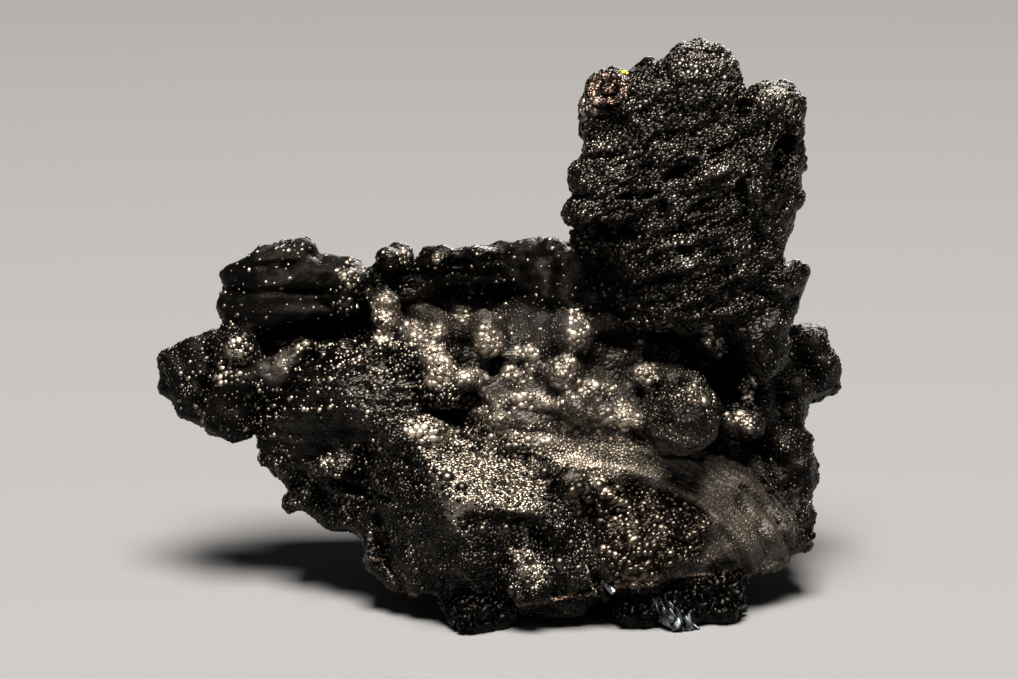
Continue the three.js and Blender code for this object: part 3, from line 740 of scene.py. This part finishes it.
print("groups of beads:", len(CLUSTERS) + len(DIM_CLUSTERS))

# %% Brown, dull, bright and rusty regions
points, front = points_of(growth), front_of(growth)
x, y = view_of(points)
brown = np.maximum(inside(x, y, "fan") * (1 - inside(x, y, "berry")),
                   0.5 * inside(x, y, "knobs") * (1 - inside(x, y, "cone")))
brown = np.maximum(brown, 0.9 * in_ovals(x, y, BROWN_LUMPS))
keep_mask(growth, "brown", brown * front)
dull = np.maximum(inside(x, y, "block", "left_point"), 0.8 * inside(x, y, "saddle"))
for name, share in (("ridge", 0.15), ("cone", 0.6), ("right_lobes", 0.6)):
    dull = np.maximum(dull, share * inside(x, y, name))
keep_mask(growth, "dull", dull * front)
# the bright mask is a painted highlight: it lightens the skin where the light falls on the patch, the knob
# groups and the slope
bright = np.maximum(bright_patch(x, y), 0.6 * in_ovals(x, y, CLUSTERS))
keep_mask(growth, "bright", np.maximum(bright, 0.3 * inside(x, y, "slope")) * front)
keep_mask(growth, "grainy", 0.5 + 0.5 * inside(x, y, "blade", "shield") - 0.3 * dull)
# the berry mask is painted shade: it darkens the skin in the gaps between the raspberry's beads
keep_mask(growth, "berry", inside(x, y, "berry") * front)
rim = near(y - rim_line(x) + 2.0 * soft_noise(points, *FINE_WANDER), 2.4, 0.4)
rim *= ramp(soft_noise(points, 2.4 * MM, 72), -0.3, 0.3) * ramp(x, 765, 745) * front
keep_mask(growth, "rim", rim)
far = from_tip(x, y)
keep_mask(growth, "tip", (near(far - 14, 5, 2) + ramp(far, 6, 4)) * front)
print("masks:", [mask.name for mask in growth.data.attributes if mask.data_type == "FLOAT"])

# %% [markdown]
# ## The crust of fine beads
# The skin of the real stone is a carpet of beads a quarter of a millimetre across, each with a small
# spark of light. A bump in the finish gives no such sparks at the outline, so the beads are modelled.
# One ball of 20 faces is made and copied by the thousand, each copy turned to stand on the surface
# under it and sunk a little. Every bead keeps its own brightness, because some are clean and some
# are coated. A painted highlight raises it where a ledge catches the light.

# %% Where the light catches most: ovals of painted highlight on the beads
# x, y, half width, half height, roll in degrees
GLINTS = [
    (640, 155, 24, 9, 20), (716, 170, 28, 8, 25), (700, 232, 60, 10, 15), (680, 262, 26, 9, 20),
    (732, 272, 18, 8, 20), (705, 308, 38, 9, 10), (625, 190, 28, 10, 5), (600, 150, 20, 12, 10),
    (700, 62, 26, 16, 0), (775, 98, 22, 12, 0), (528, 562, 26, 36, 0), (560, 452, 80, 26, -8),
    (480, 530, 20, 10, 0), (572, 545, 16, 40, 0), (430, 430, 30, 12, 0), (745, 385, 12, 16, 0),
    (390, 360, 50, 26, 0),
]


# %% Beads over a part of the stone
fine_ball = ball(1)
LEDGE_WAY = RIGHT * math.cos(TILT) + UPWARD * math.sin(TILT)


def crust(name, where, gap, radii, seed, long=1.0, high=0.9, sink=0.25, uneven=0.0, glow=0.5,
          shape=fine_ball):
    """Beads where the weight is high; their gap, their two radii and unevenness are in mm."""
    spots, facing = strewn(growth, np.clip(where, 0, 1), gap * MM, seed)
    chance = np.random.default_rng(seed)
    # the power leaves most beads near the smaller radius
    radius = (radii[0] + (radii[1] - radii[0]) * chance.random(len(spots)) ** 2.2) * MM
    sizes = radius[:, None] * np.array([long, 1.0, high])
    sizes[:, 0] *= chance.uniform(0.75, 1.3, len(spots))
    sizes[:, 2] *= chance.uniform(0.7, 1.15, len(spots))
    alongs = LEDGE_WAY + chance.normal(0, 0.3, (len(spots), 3))
    piece = copies(name, shape, spots - facing * radius[:, None] * sink, facing, sizes, alongs)
    points = points_of(piece)
    points += normals_of(piece) * soft_noise(points, 0.22 * MM, seed)[:, None] * uneven * MM
    put_points(piece, points)
    # clean and coated beads lie in patches, and differ within them too
    bright = glow + 0.5 * soft_noise(spots, 1.1 * MM, seed + 7) + chance.normal(0, 0.3, len(spots))
    # painted highlight: beads are made brighter where a ledge catches the light
    bright += 0.85 * in_ovals(*view_of(spots), GLINTS, 1.3, 0.6) - 0.2
    keep_mask(piece, "bright", np.repeat(bright, len(shape[0])))
    print(name, len(spots), "beads,", len(piece.data.polygons), "triangles")
    return piece


# %% Weights that several crusts share
places = points_of(growth)
x, y = view_of(places)
front = front_of(growth, -0.25, 0.2)
proud = 1 - 0.9 * ramp(hollow, 0.56, 0.8)
clumps = 0.12 + 0.88 * ramp(soft_noise(places, 0.7 * MM, 91), -0.35, 0.35)
patch = bright_patch(x, y)
far = from_tip(x, y)
shield = inside(x, y, "shield") * front
fan = inside(x, y, "fan") * front * (1 - inside(x, y, "berry"))
print("share of the stone that faces the front:", front.mean().round(2))

# %% The blade, the shield and the bright patch
blade = inside(x, y, "blade") * front * (1 - ramp(far, 19, 17))
blade_crust = crust("blade_crust", blade * clumps * proud, 0.24, (0.11, 0.3), 101, long=1.4, high=0.55,
                    uneven=0.05, glow=0.42)
shield_crust = crust("shield_crust", shield * clumps * (1 - 0.8 * patch), 0.27, (0.1, 0.27), 102,
                     high=0.6, uneven=0.05)
# painted highlight: a high glow and the rubbed finish lighten the beads where the light falls on the patch
patch_crust = crust("patch_crust", patch * front, 0.3, (0.17, 0.27), 112, high=0.42, uneven=0.05,
                    glow=0.8)

# %% The fan, in rows along its arcs, and the slope above it
ring = from_fan(x, y) + 4 * soft_noise(places, *WANDER)
arc_rows = np.maximum(ramp(waves(ring, ARC_GAP), -0.3, 0.6), ramp(x, 690, 620) * clumps)
fan_crust = crust("fan_crust", fan * arc_rows, 0.29, (0.11, 0.2), 104, high=0.6, glow=0.9)
# painted highlight: a full glow and the rubbed finish lighten the beads where the light falls on the slope
slope_crust = crust("slope_crust", inside(x, y, "slope") * front, 0.24, (0.11, 0.24), 111, long=1.3,
                    high=0.7, glow=1.0)

# %% The knobs, the cone and the lobes
knob_crust = crust("knob_crust", inside(x, y, "knobs") * front * 0.6, 0.34, (0.09, 0.19), 103, glow=0.7)
cone_crust = crust("cone_crust", inside(x, y, "cone") * front, 0.3, (0.1, 0.25), 113, high=0.7,
                   uneven=0.05, glow=0.4)
low_parts = inside(x, y, "right_lobes") + inside(x, y, "low_shelf") + 0.6 * inside(x, y, "left_point")
low_parts = np.clip(low_parts, 0, 1) * ramp(places[:, 2] / MM, 0.4, 0.8) * front
low_parts *= 1 - inside(x, y, "shield")
lobe_crust = crust("lobe_crust", low_parts * clumps, 0.32, (0.12, 0.3), 117, high=0.7, uneven=0.06,
                   glow=0.45)

# %% The plate, in level rows
wavy = y + 0.08 * x + 6 * soft_noise(places, 4 * MM, 92)
level_rows = 0.06 + 0.94 * ramp(waves(wavy, 10), -0.1, 0.8)
thick = (0.25 + 0.75 * ramp(x, 330, 420)) * (1 - 0.9 * inside(x, y, "bare_strip"))
plate_beads = crust("plate_beads", inside(x, y, "plate") * front * level_rows * thick * clumps, 0.26,
                    (0.10, 0.3), 105, sink=0.3, uneven=0.04, glow=0.8)

# %% [markdown]
# ## Larger beads
# Larger beads stand among the fine ones: packed like a raspberry on the fan, in bright groups on the
# tips of the knobs, and alone here and there. At this size 20 faces would show as corners, so the
# ball starts with 80, and the cap that the stone hides is dissolved into one flat end. The back gets
# the same kind of crust, but coarser.

# %% A ball with a flat end
def sunk_ball():
    made = new_ball(2)
    hidden = [face.center.z < -0.5 for face in made.data.polygons]
    edit(made, bpy.ops.mesh.dissolve_faces, bpy.ops.mesh.quads_convert_to_tris, faces=hidden)
    return shape_of(made)


large_ball = sunk_ball()
print("larger bead:", len(large_ball[1]), "faces")

# %% The raspberry, the broken tip and the groups on the knobs
berry = inside(x, y, "berry", soft=3) * front * (0.3 + 0.7 * proud)
berry_beads = crust("berry_beads", berry, 0.4, (0.16, 0.5), 109, shape=large_ball, sink=0.45, uneven=0.09,
                    long=1.2)
broken_ring = near(far - 14, 6, 4) + ramp(far, 5, 3)
broken_ring += near(np.hypot(x - 588, y - 106), 10, 7)
broken_ring *= front_of(growth, -0.4, 0.1)
tip_beads = crust("tip_beads", broken_ring, 0.36, (0.16, 0.34), 110, shape=large_ball, sink=0.3,
                  high=0.7, uneven=0.12)
cluster_beads = crust("cluster_beads", in_ovals(x, y, CLUSTERS) * front, 0.44, (0.2, 0.52), 107,
                      shape=large_ball, sink=0.35, high=0.75, uneven=0.07, glow=0.75)
dim_beads = crust("dim_beads", in_ovals(x, y, DIM_CLUSTERS) * front, 0.5, (0.18, 0.36), 115,
                  shape=large_ball, sink=0.3, high=0.8, uneven=0.05)

# %% Beads that stand alone
far_parts = inside(x, y, "block", "ridge", "saddle", "left_point") * front * 0.5 * clumps
far_beads = crust("far_beads", far_parts, 0.7, (0.09, 0.27), 108, shape=large_ball, uneven=0.04)
small_bubbles = crust("small_bubbles", shield * (1 - 0.6 * inside(x, y, "patch")) * clumps, 0.85,
                      (0.2, 0.42), 114, shape=large_ball, sink=0.3, glow=0.3)
off_ground = ramp(places[:, 2] / MM, 0.8, 1.2)
covered = 0.3 * inside(x, y, "right_lobes")
for name in ("plate", "fan", "left_point", "block", "ridge", "knobs"):
    covered = covered + inside(x, y, name)
stray_beads = crust("stray_beads", (1 - np.clip(covered, 0, 1) * front) * off_ground * 0.7, 1.7,
                    (0.18, 0.42), 106, shape=large_ball, sink=0.3)
back_beads = crust("back_beads", (1 - front) * (0.3 + 0.7 * proud) * clumps, 0.64, (0.16, 0.38), 116,
                   high=0.65, uneven=0.05)

# %% [markdown]
# ## Bubbles, a speck and a scratch
# A few glossy bubbles are large enough to be known one by one, so each is put in its own place. A
# yellow speck sits beside the broken tip, and a short pale scratch runs down the shield: small
# marks, but an eye that knows this stone looks for them.

# %% Single bubbles on the shield
# x, y and radius, in steps of the front view
BUBBLES = [
    (447, 477, 8.5), (462, 487, 7), (446, 496, 5.5), (446, 448, 3.5), (456, 456, 3), (481, 446, 4),
    (504, 453, 4), (500, 473, 2.5), (525, 474, 4), (543, 472, 6), (428, 466, 4), (533, 487, 3),
    (555, 512, 4.5), (482, 530, 6), (507, 529, 6), (519, 546, 4), (530, 560, 5), (514, 563, 6),
    (527, 584, 6), (559, 563, 7), (572, 543, 5), (510, 590, 6), (580, 488, 7), (600, 485, 7),
    (579, 505, 5), (588, 500, 6), (602, 496, 5), (491, 484, 2.5), (470, 463, 2.5), (517, 497, 3),
    (674, 525, 5), (660, 507, 3), (547, 575, 4), (495, 556, 4), (640, 545, 4), (626, 520, 4),
]
bubbles = placed("bubbles", ball(3), BUBBLES, 0.25, (1.0, 1.0, 0.95))

# %% A yellow speck and a pale scratch
SPECK = [(624, 72, 2.6), (627, 73, 1.8)]
SCRATCH = [(586 + step * 0.6 + (step % 3) * 0.4, 566 + step * 2.2, 1.0) for step in range(11)]
yellow_speck = placed("yellow_speck", large_ball, SPECK, 0.1, (1.4, 1.0, 0.7))
pale_scratch = placed("pale_scratch", fine_ball, SCRATCH, 0.0, (0.8, 0.8, 1.0))
for piece, glow in ((bubbles, 0.8), (yellow_speck, 1.0), (pale_scratch, 1.0)):
    keep_mask(piece, "bright", np.full(len(piece.data.vertices), glow))

# %% [markdown]
# ## The crystals at the foot
# Under the shield and the fan hang small black crystals, blocky and flat-faced, and a sheaf of
# slender ones that flash bluish white. All are copies of one block with bevelled edges. The black
# ones are turned any way, and the slender ones lean nearly alike, so that they flash together.

# %% One block with bevelled edges
def bevelled_block():
    bpy.ops.mesh.primitive_cube_add(size=1)
    made = bpy.context.object
    edit(made, lambda: bpy.ops.mesh.bevel(offset=0.06, segments=1))
    edit(made, bpy.ops.mesh.quads_convert_to_tris)
    return shape_of(made)


block_shape = bevelled_block()
print("bevelled block:", len(block_shape[1]), "faces")

# %% Small black crystals
chance = np.random.default_rng(31)
at_foot = inside(x, y, "left_foot", "right_foot", soft=3) * off_ground
spots, facing = strewn(growth, at_foot, 0.3 * MM, 201)
turned = facing + chance.normal(0, 0.5, facing.shape)
sizes = chance.uniform(0.3, 0.95, (len(spots), 1)) ** 1.5 * np.array([1.0, 0.7, 1.3]) * MM
crystals = copies("crystals", block_shape, spots, turned, sizes, chance.normal(0, 1, facing.shape))
put_points(crystals, points_of(crystals))
print("crystals:", len(spots))

# %% Slender flashing crystals
# x and y in the front view, and the length in millimetres
SHARDS = [
    (660, 603, 1.5), (663, 606, 2.2), (667, 604, 1.5), (665, 613, 1.8), (669, 611, 2.3), (673, 609, 1.5),
    (670, 620, 1.8), (674, 617, 2.2), (678, 614, 1.6), (677, 623, 1.4), (680, 620, 2.0), (684, 617, 1.6),
    (685, 623, 1.5), (689, 620, 1.5), (693, 624, 1.1), (612, 589, 1.2),
]
SLENDER = np.array([1.0, 0.46, 0.3])
# the way that their broad faces look, and the way that they are long
LEAN, LENGTHWAYS = [-0.30, -0.86, 0.40], [0.6, 0, -1.0]
spots, facing, _ = on_surface(growth, [(shard[0], shard[1], 1) for shard in SHARDS], 0)
spots += facing * 0.35 * MM
flash = LEAN + chance.normal(0, 0.12, (len(spots), 3))
sizes = np.array([shard[2] for shard in SHARDS])[:, None] * SLENDER * MM
shards = copies("shards", block_shape, spots, flash, sizes,
                LENGTHWAYS + chance.normal(0, 0.15, (len(spots), 3)))
put_points(shards, points_of(shards))
print("shards:", len(spots))

# %% [markdown]
# ## Finishes
# The stone is dark, but it glints like worn bronze: what it shows is mostly reflected light, near
# black in the hollows and near cream on the tips. A metallic finish does that, with its tone as the
# base colour. Two effects are groups of nodes, to be used wherever they are wanted: the tone, which
# drifts over the stone, and the grain of beads too fine to model. Short helpers add the nodes.

# %% Node helpers
def put(tree, socket, value):
    """Gives an input its value, or links another node's output to it."""
    if isinstance(value, bpy.types.NodeSocket):
        tree.links.new(value, socket)
    else:
        socket.default_value = value


def node(tree, kind, inputs, **settings):
    made = tree.nodes.new("ShaderNode" + kind)
    for name, value in settings.items():
        setattr(made, name, value)
    for name, value in inputs.items():
        put(tree, made.inputs[name], value)
    return made


def number(tree, operation, *values):
    return node(tree, "Math", dict(enumerate(values)), operation=operation).outputs[0]


def vector(tree, operation, first, second):
    return node(tree, "VectorMath", {0: first, 1: second}, operation=operation)


def stretch(tree, value, low, high, new_low=0.0, new_high=1.0):
    """Maps low and high to new_low and new_high."""
    ends = {"Value": value, "From Min": low, "From Max": high, "To Min": new_low, "To Max": new_high}
    return node(tree, "MapRange", ends).outputs[0]


def blend(tree, factor, low, high, **settings):
    return node(tree, "Mix", {0: factor, 6: low, 7: high}, data_type="RGBA", **settings).outputs[2]


def surface(tree, shader, colour, rough, metal=1.0):
    """Gives a finish its colour, how rough it is and how metallic."""
    for name, value in {"Base Color": colour, "Roughness": rough, "Metallic": metal}.items():
        put(tree, shader.inputs[name], value)


def mask_of(tree, name):
    return node(tree, "Attribute", {}, attribute_name=name).outputs["Fac"]


def on_object(tree):
    return node(tree, "TexCoord", {}).outputs["Object"]


# %% New materials and groups
def new_material(name):
    material = bpy.data.materials.new(name)
    material.use_nodes = True
    return material, material.node_tree, material.node_tree.nodes["Principled BSDF"]


def new_group(name, inputs, outputs):
    group = bpy.data.node_groups.new(name, "ShaderNodeTree")
    for title, kind, value in inputs:
        socket = group.interface.new_socket(title, in_out="INPUT", socket_type="NodeSocket" + kind)
        socket.default_value = value
    for title, kind in outputs:
        group.interface.new_socket(title, in_out="OUTPUT", socket_type="NodeSocket" + kind)
    return group, group.nodes.new("NodeGroupInput").outputs, group.nodes.new("NodeGroupOutput").inputs


def use(tree, group, inputs):
    made = tree.nodes.new("ShaderNodeGroup")
    made.node_tree = group
    for name, value in inputs.items():
        put(tree, made.inputs[name], value)
    return made.outputs


# %% The drifting tone, and how rough it is
tone_group, entry, leave = new_group(
    "bronze_tone", [("Dark", "Color", (0.01, 0.01, 0.01, 1)), ("Light", "Color", (0.1, 0.1, 0.1, 1))],
    [("Color", "Color"), ("Roughness", "Float")])
drift = node(tone_group, "TexNoise", {"Vector": on_object(tone_group), "Scale": 330, "Detail": 5,
                                      "Roughness": 0.65}).outputs[0]
share = stretch(tone_group, drift, 0.35, 0.68)
put(tone_group, leave["Color"], blend(tone_group, share, entry["Dark"], entry["Light"]))
put(tone_group, leave["Roughness"], stretch(tone_group, drift, 0, 1, 0.42, 0.24))
print("tone nodes:", len(tone_group.nodes))

# %% The grain of the finest beads, each a dome that leans its own way
grain_group, entry, leave = new_group("bead_grain", [("Scale", "Float", 3600.0)], [("Height", "Float")])
slant = node(grain_group, "Mapping", {"Vector": on_object(grain_group), "Rotation": (0, -TILT, 0),
                                      "Scale": (1.5, 1, 1)}, vector_type="TEXTURE").outputs[0]
cells = node(grain_group, "TexVoronoi", {"Vector": slant, "Scale": entry["Scale"]}, feature="F1").outputs
from_middle = vector(grain_group, "SUBTRACT", slant, cells["Position"]).outputs[0]
lean_way = vector(grain_group, "SUBTRACT", cells["Color"], (0.5, 0.5, 0.5)).outputs[0]
lean = vector(grain_group, "DOT_PRODUCT", from_middle, lean_way).outputs["Value"]
lean = number(grain_group, "MULTIPLY", lean, entry["Scale"])
dome = number(grain_group, "SUBTRACT", 1, number(grain_group, "POWER", cells["Distance"], 2))
put(grain_group, leave["Height"], number(grain_group, "ADD", dome, lean))
print("grain nodes:", len(grain_group.nodes))

# %% [markdown]
# ## The skin
# The skin is the dark tone everywhere, and each mask turns it toward the tone of its region, as thin
# coats of paint would. The bright coat is a painted highlight where the light falls, and the berry
# coat is painted shade between the raspberry's beads. Hollows are darkened last as painted shade,
# for light hardly gets out of them. The brown and rusty parts are less metallic, so that they look
# dry, and the brown and dull ones are rougher. The grain is a bump, a fifth of a millimetre deep.

# %% Dark bronze skin: tone
skin, tree, shader = new_material("bronze_skin")
masks = {name: mask_of(tree, name)
         for name in ("brown", "bright", "dull", "berry", "rim", "tip", "hollow", "grainy")}
# the bright coat is a painted highlight on the patch, the knob groups and the slope
COATS = {
    "brown": (0.032, 0.025, 0.019), "bright": (0.22, 0.19, 0.155), "dull": (0.006, 0.0054, 0.0048),
    # the berry coat is painted shade between the raspberry's beads
    "berry": (0.010, 0.008, 0.0065), "rim": (0.11, 0.062, 0.034), "tip": (0.10, 0.066, 0.052),
}
toned = use(tree, tone_group, {"Dark": (0.005, 0.0046, 0.0042, 1), "Light": (0.028, 0.025, 0.022, 1)})
tone = toned["Color"]
for name, colour in COATS.items():
    tone = blend(tree, masks[name], tone, (*colour, 1))
# painted shade: the hollow mask darkens the tone to near black in hollows
shadow = node(tree, "ValToRGB", {0: masks["hollow"]})
for end, (where, grey) in zip(shadow.color_ramp.elements, ((0.45, 1.0), (0.75, 0.08))):
    end.position = where
    end.color = (grey, grey, grey, 1)
tone = blend(tree, 1, tone, shadow.outputs[0], blend_type="MULTIPLY")
print("coats over the dark tone:", len(COATS))

# %% Dark bronze skin: gloss and grain
rough = number(tree, "MULTIPLY_ADD", masks["dull"], 0.28, toned["Roughness"])
rough = number(tree, "MULTIPLY_ADD", masks["brown"], 0.22, rough)
dry = number(tree, "MAXIMUM", masks["brown"], masks["rim"])
surface(tree, shader, tone, rough, stretch(tree, dry, 0, 1, 1.0, 0.35))
grain = use(tree, grain_group, {"Scale": 3400})["Height"]
raised = number(tree, "MULTIPLY", grain, masks["grainy"])
bump = node(tree, "Bump", {"Height": raised, "Distance": 0.18 * MM, "Strength": 1.0})
put(tree, shader.inputs["Normal"], bump.outputs[0])
growth.data.materials.clear()
growth.data.materials.append(skin)
print("skin nodes:", len(tree.nodes))

# %% [markdown]
# ## The beads' finishes
# Beads run from near black where they are coated to cream where they are clean, and a painted
# highlight lifts them where a ledge catches the light. Each finish blends between two tones by the
# brightness that its beads keep. The rubbed one, on the knobs and the bright patch, is light and
# rough, and so its glints are broad and soft; its light tone is partly wear and partly a painted
# highlight.

# %% Bead finishes
# name, dark tone, light tone and how rough
BEAD_TONES = [
    ("bronze_grains", (0.004, 0.0037, 0.0033), (0.2, 0.178, 0.15), 0.3),
    ("bronze_beads", (0.006, 0.0055, 0.005), (0.14, 0.124, 0.105), 0.32),
    ("brown_beads", (0.02, 0.016, 0.012), (0.22, 0.18, 0.14), 0.34),
    # the rubbed tone is light partly from wear and partly as a painted highlight
    ("rubbed_and_highlit_beads", (0.05, 0.044, 0.037), (0.66, 0.565, 0.46), 0.47),
    ("dim_beads", (0.015, 0.0135, 0.012), (0.26, 0.23, 0.195), 0.36),
    ("pinkish_beads", (0.02, 0.014, 0.012), (0.75, 0.56, 0.47), 0.36),
    ("yellow_speck", (0.75, 0.52, 0.02), (0.85, 0.62, 0.05), 0.5),
    ("pale_scratch", (0.6, 0.57, 0.52), (0.8, 0.76, 0.7), 0.5),
]
for name, dark, light, rough in BEAD_TONES:
    _, tree, shader = new_material(name)
    toned = use(tree, tone_group, {"Dark": (*dark, 1), "Light": (*light, 1)})
    surface(tree, shader, blend(tree, mask_of(tree, "bright"), (*dark, 1), toned["Color"]), rough)
print("bead finishes:", len(BEAD_TONES))

# %% [markdown]
# ## The crystals' finishes
# The small crystals are black and glossy. The slender ones have fine slanting streaks, some bright
# and some nearly black: a noise drawn out long gives those.

# %% Black crystal and flashing crystal
_, tree, shader = new_material("black_crystal")
toned = use(tree, tone_group, {"Dark": (0.003, 0.003, 0.003, 1), "Light": (0.014, 0.0125, 0.011, 1)})
surface(tree, shader, toned["Color"], 0.34)

_, tree, shader = new_material("flashing_crystal")
drawn_out = node(tree, "Mapping", {"Vector": on_object(tree), "Scale": (1.0, 1.0, 0.2),
                                   "Rotation": (0, 0.46, 0)}).outputs[0]
streaks = node(tree, "TexNoise", {"Vector": drawn_out, "Scale": 1500}).outputs[0]
streaks = stretch(tree, streaks, 0.42, 0.6)
surface(tree, shader, blend(tree, streaks, (0.01, 0.012, 0.014, 1), (0.25, 0.27, 0.29, 1)), 0.3)
print("materials in all:", len(bpy.data.materials))

# %% [markdown]
# ## Each piece gets its finish
# Every piece rides on the one body. All the copies are shaded smooth, so a ball of few faces looks
# round, and the edges of the crystals look worn.

# %% Finishes of all pieces
FINISHES = {
    "bronze_grains": (blade_crust, shield_crust, cone_crust, lobe_crust),
    "bronze_beads": (small_bubbles, stray_beads, back_beads, bubbles),
    "brown_beads": (fan_crust, knob_crust, berry_beads),
    "rubbed_and_highlit_beads": (slope_crust, patch_crust, plate_beads, far_beads, cluster_beads),
    "dim_beads": (dim_beads,), "pinkish_beads": (tip_beads,), "yellow_speck": (yellow_speck,),
    "pale_scratch": (pale_scratch,), "black_crystal": (crystals,), "flashing_crystal": (shards,),
}
stone = [growth]
for finish, pieces in FINISHES.items():
    for piece in pieces:
        piece.data.materials.append(bpy.data.materials[finish])
        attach(piece, "root")
        stone.append(piece)
print("pieces:", len(stone))

# %% [markdown]
# ## The floor
# The stone stands on plain pale paper, which isn't part of it.

# %% Floor
bpy.ops.mesh.primitive_plane_add(size=4, location=(0, 0, 0))
floor = bpy.context.object
floor.name = "floor"
paper, tree, shader = new_material("pale_paper")
surface(tree, shader, (0.36, 0.35, 0.34, 1), 0.9, metal=0.0)
floor.data.materials.append(paper)
floor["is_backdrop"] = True
print("floor:", floor.dimensions[0], "m across")

# %% [markdown]
# ## The light
# A dark metallic stone shows its lamps rather than its own colour. One large softbox above the front
# gives every bead that faces it a spark and leaves the undersides black. A small lamp at the left
# lights up the slender crystals, and a dim one behind keeps the back from going black. A lit floor
# would be mirrored in every bead, so the floor has a lamp of its own, and each lamp lights the one
# or the other.

# %% Lights
STONE_MIDDLE = (0, 0, 0.024)


def softbox(name, place, size, watts, colour, lit):
    """A square lamp that looks at the stone's middle and lights these pieces alone."""
    aim = Vector(STONE_MIDDLE) - Vector(place)
    bpy.ops.object.light_add(type="AREA", location=place, rotation=aim.to_track_quat("-Z", "Y").to_euler())
    light = bpy.context.object
    light.name = name
    light.data.size = size
    light.data.energy = watts
    light.data.color = colour
    group = bpy.data.collections.new("lit_by_" + name)
    for piece in lit:
        group.objects.link(piece)
    light.light_linking.receiver_collection = group


softbox("key_light", (0.01, -0.16, 0.43), 0.26, 9.0, (1.0, 0.94, 0.86), stone)
softbox("back_light", (0.12, 0.42, 0.20), 0.24, 2.0, (1.0, 0.97, 0.93), stone)
softbox("side_light", (-0.25, -0.34, 0.24), 0.06, 0.25, (0.95, 0.97, 1.0), stone)
softbox("floor_light", (0.02, -0.30, 1.1), 0.5, 24.0, (1.0, 0.98, 0.96), [floor])

# %% The room and the tones of the picture
room = bpy.data.worlds.new("dim_room")
room.use_nodes = True
air = room.node_tree.nodes["Background"]
air.inputs["Color"].default_value = (0.05, 0.05, 0.055, 1)
air.inputs["Strength"].default_value = 0.5
bpy.context.scene.world = room
bpy.context.scene.view_settings.view_transform = "Standard"

# %% [markdown]
# ## The end
# Crust and beads stand a little proud of the frame's facets, but the stone may not outgrow them. So
# both sizes are printed.

# %% Print the sizes
sizes = {"cad": [list(corner) for corner in CAD_BOX], "visual": [list(corner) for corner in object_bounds()]}
print(sizes)
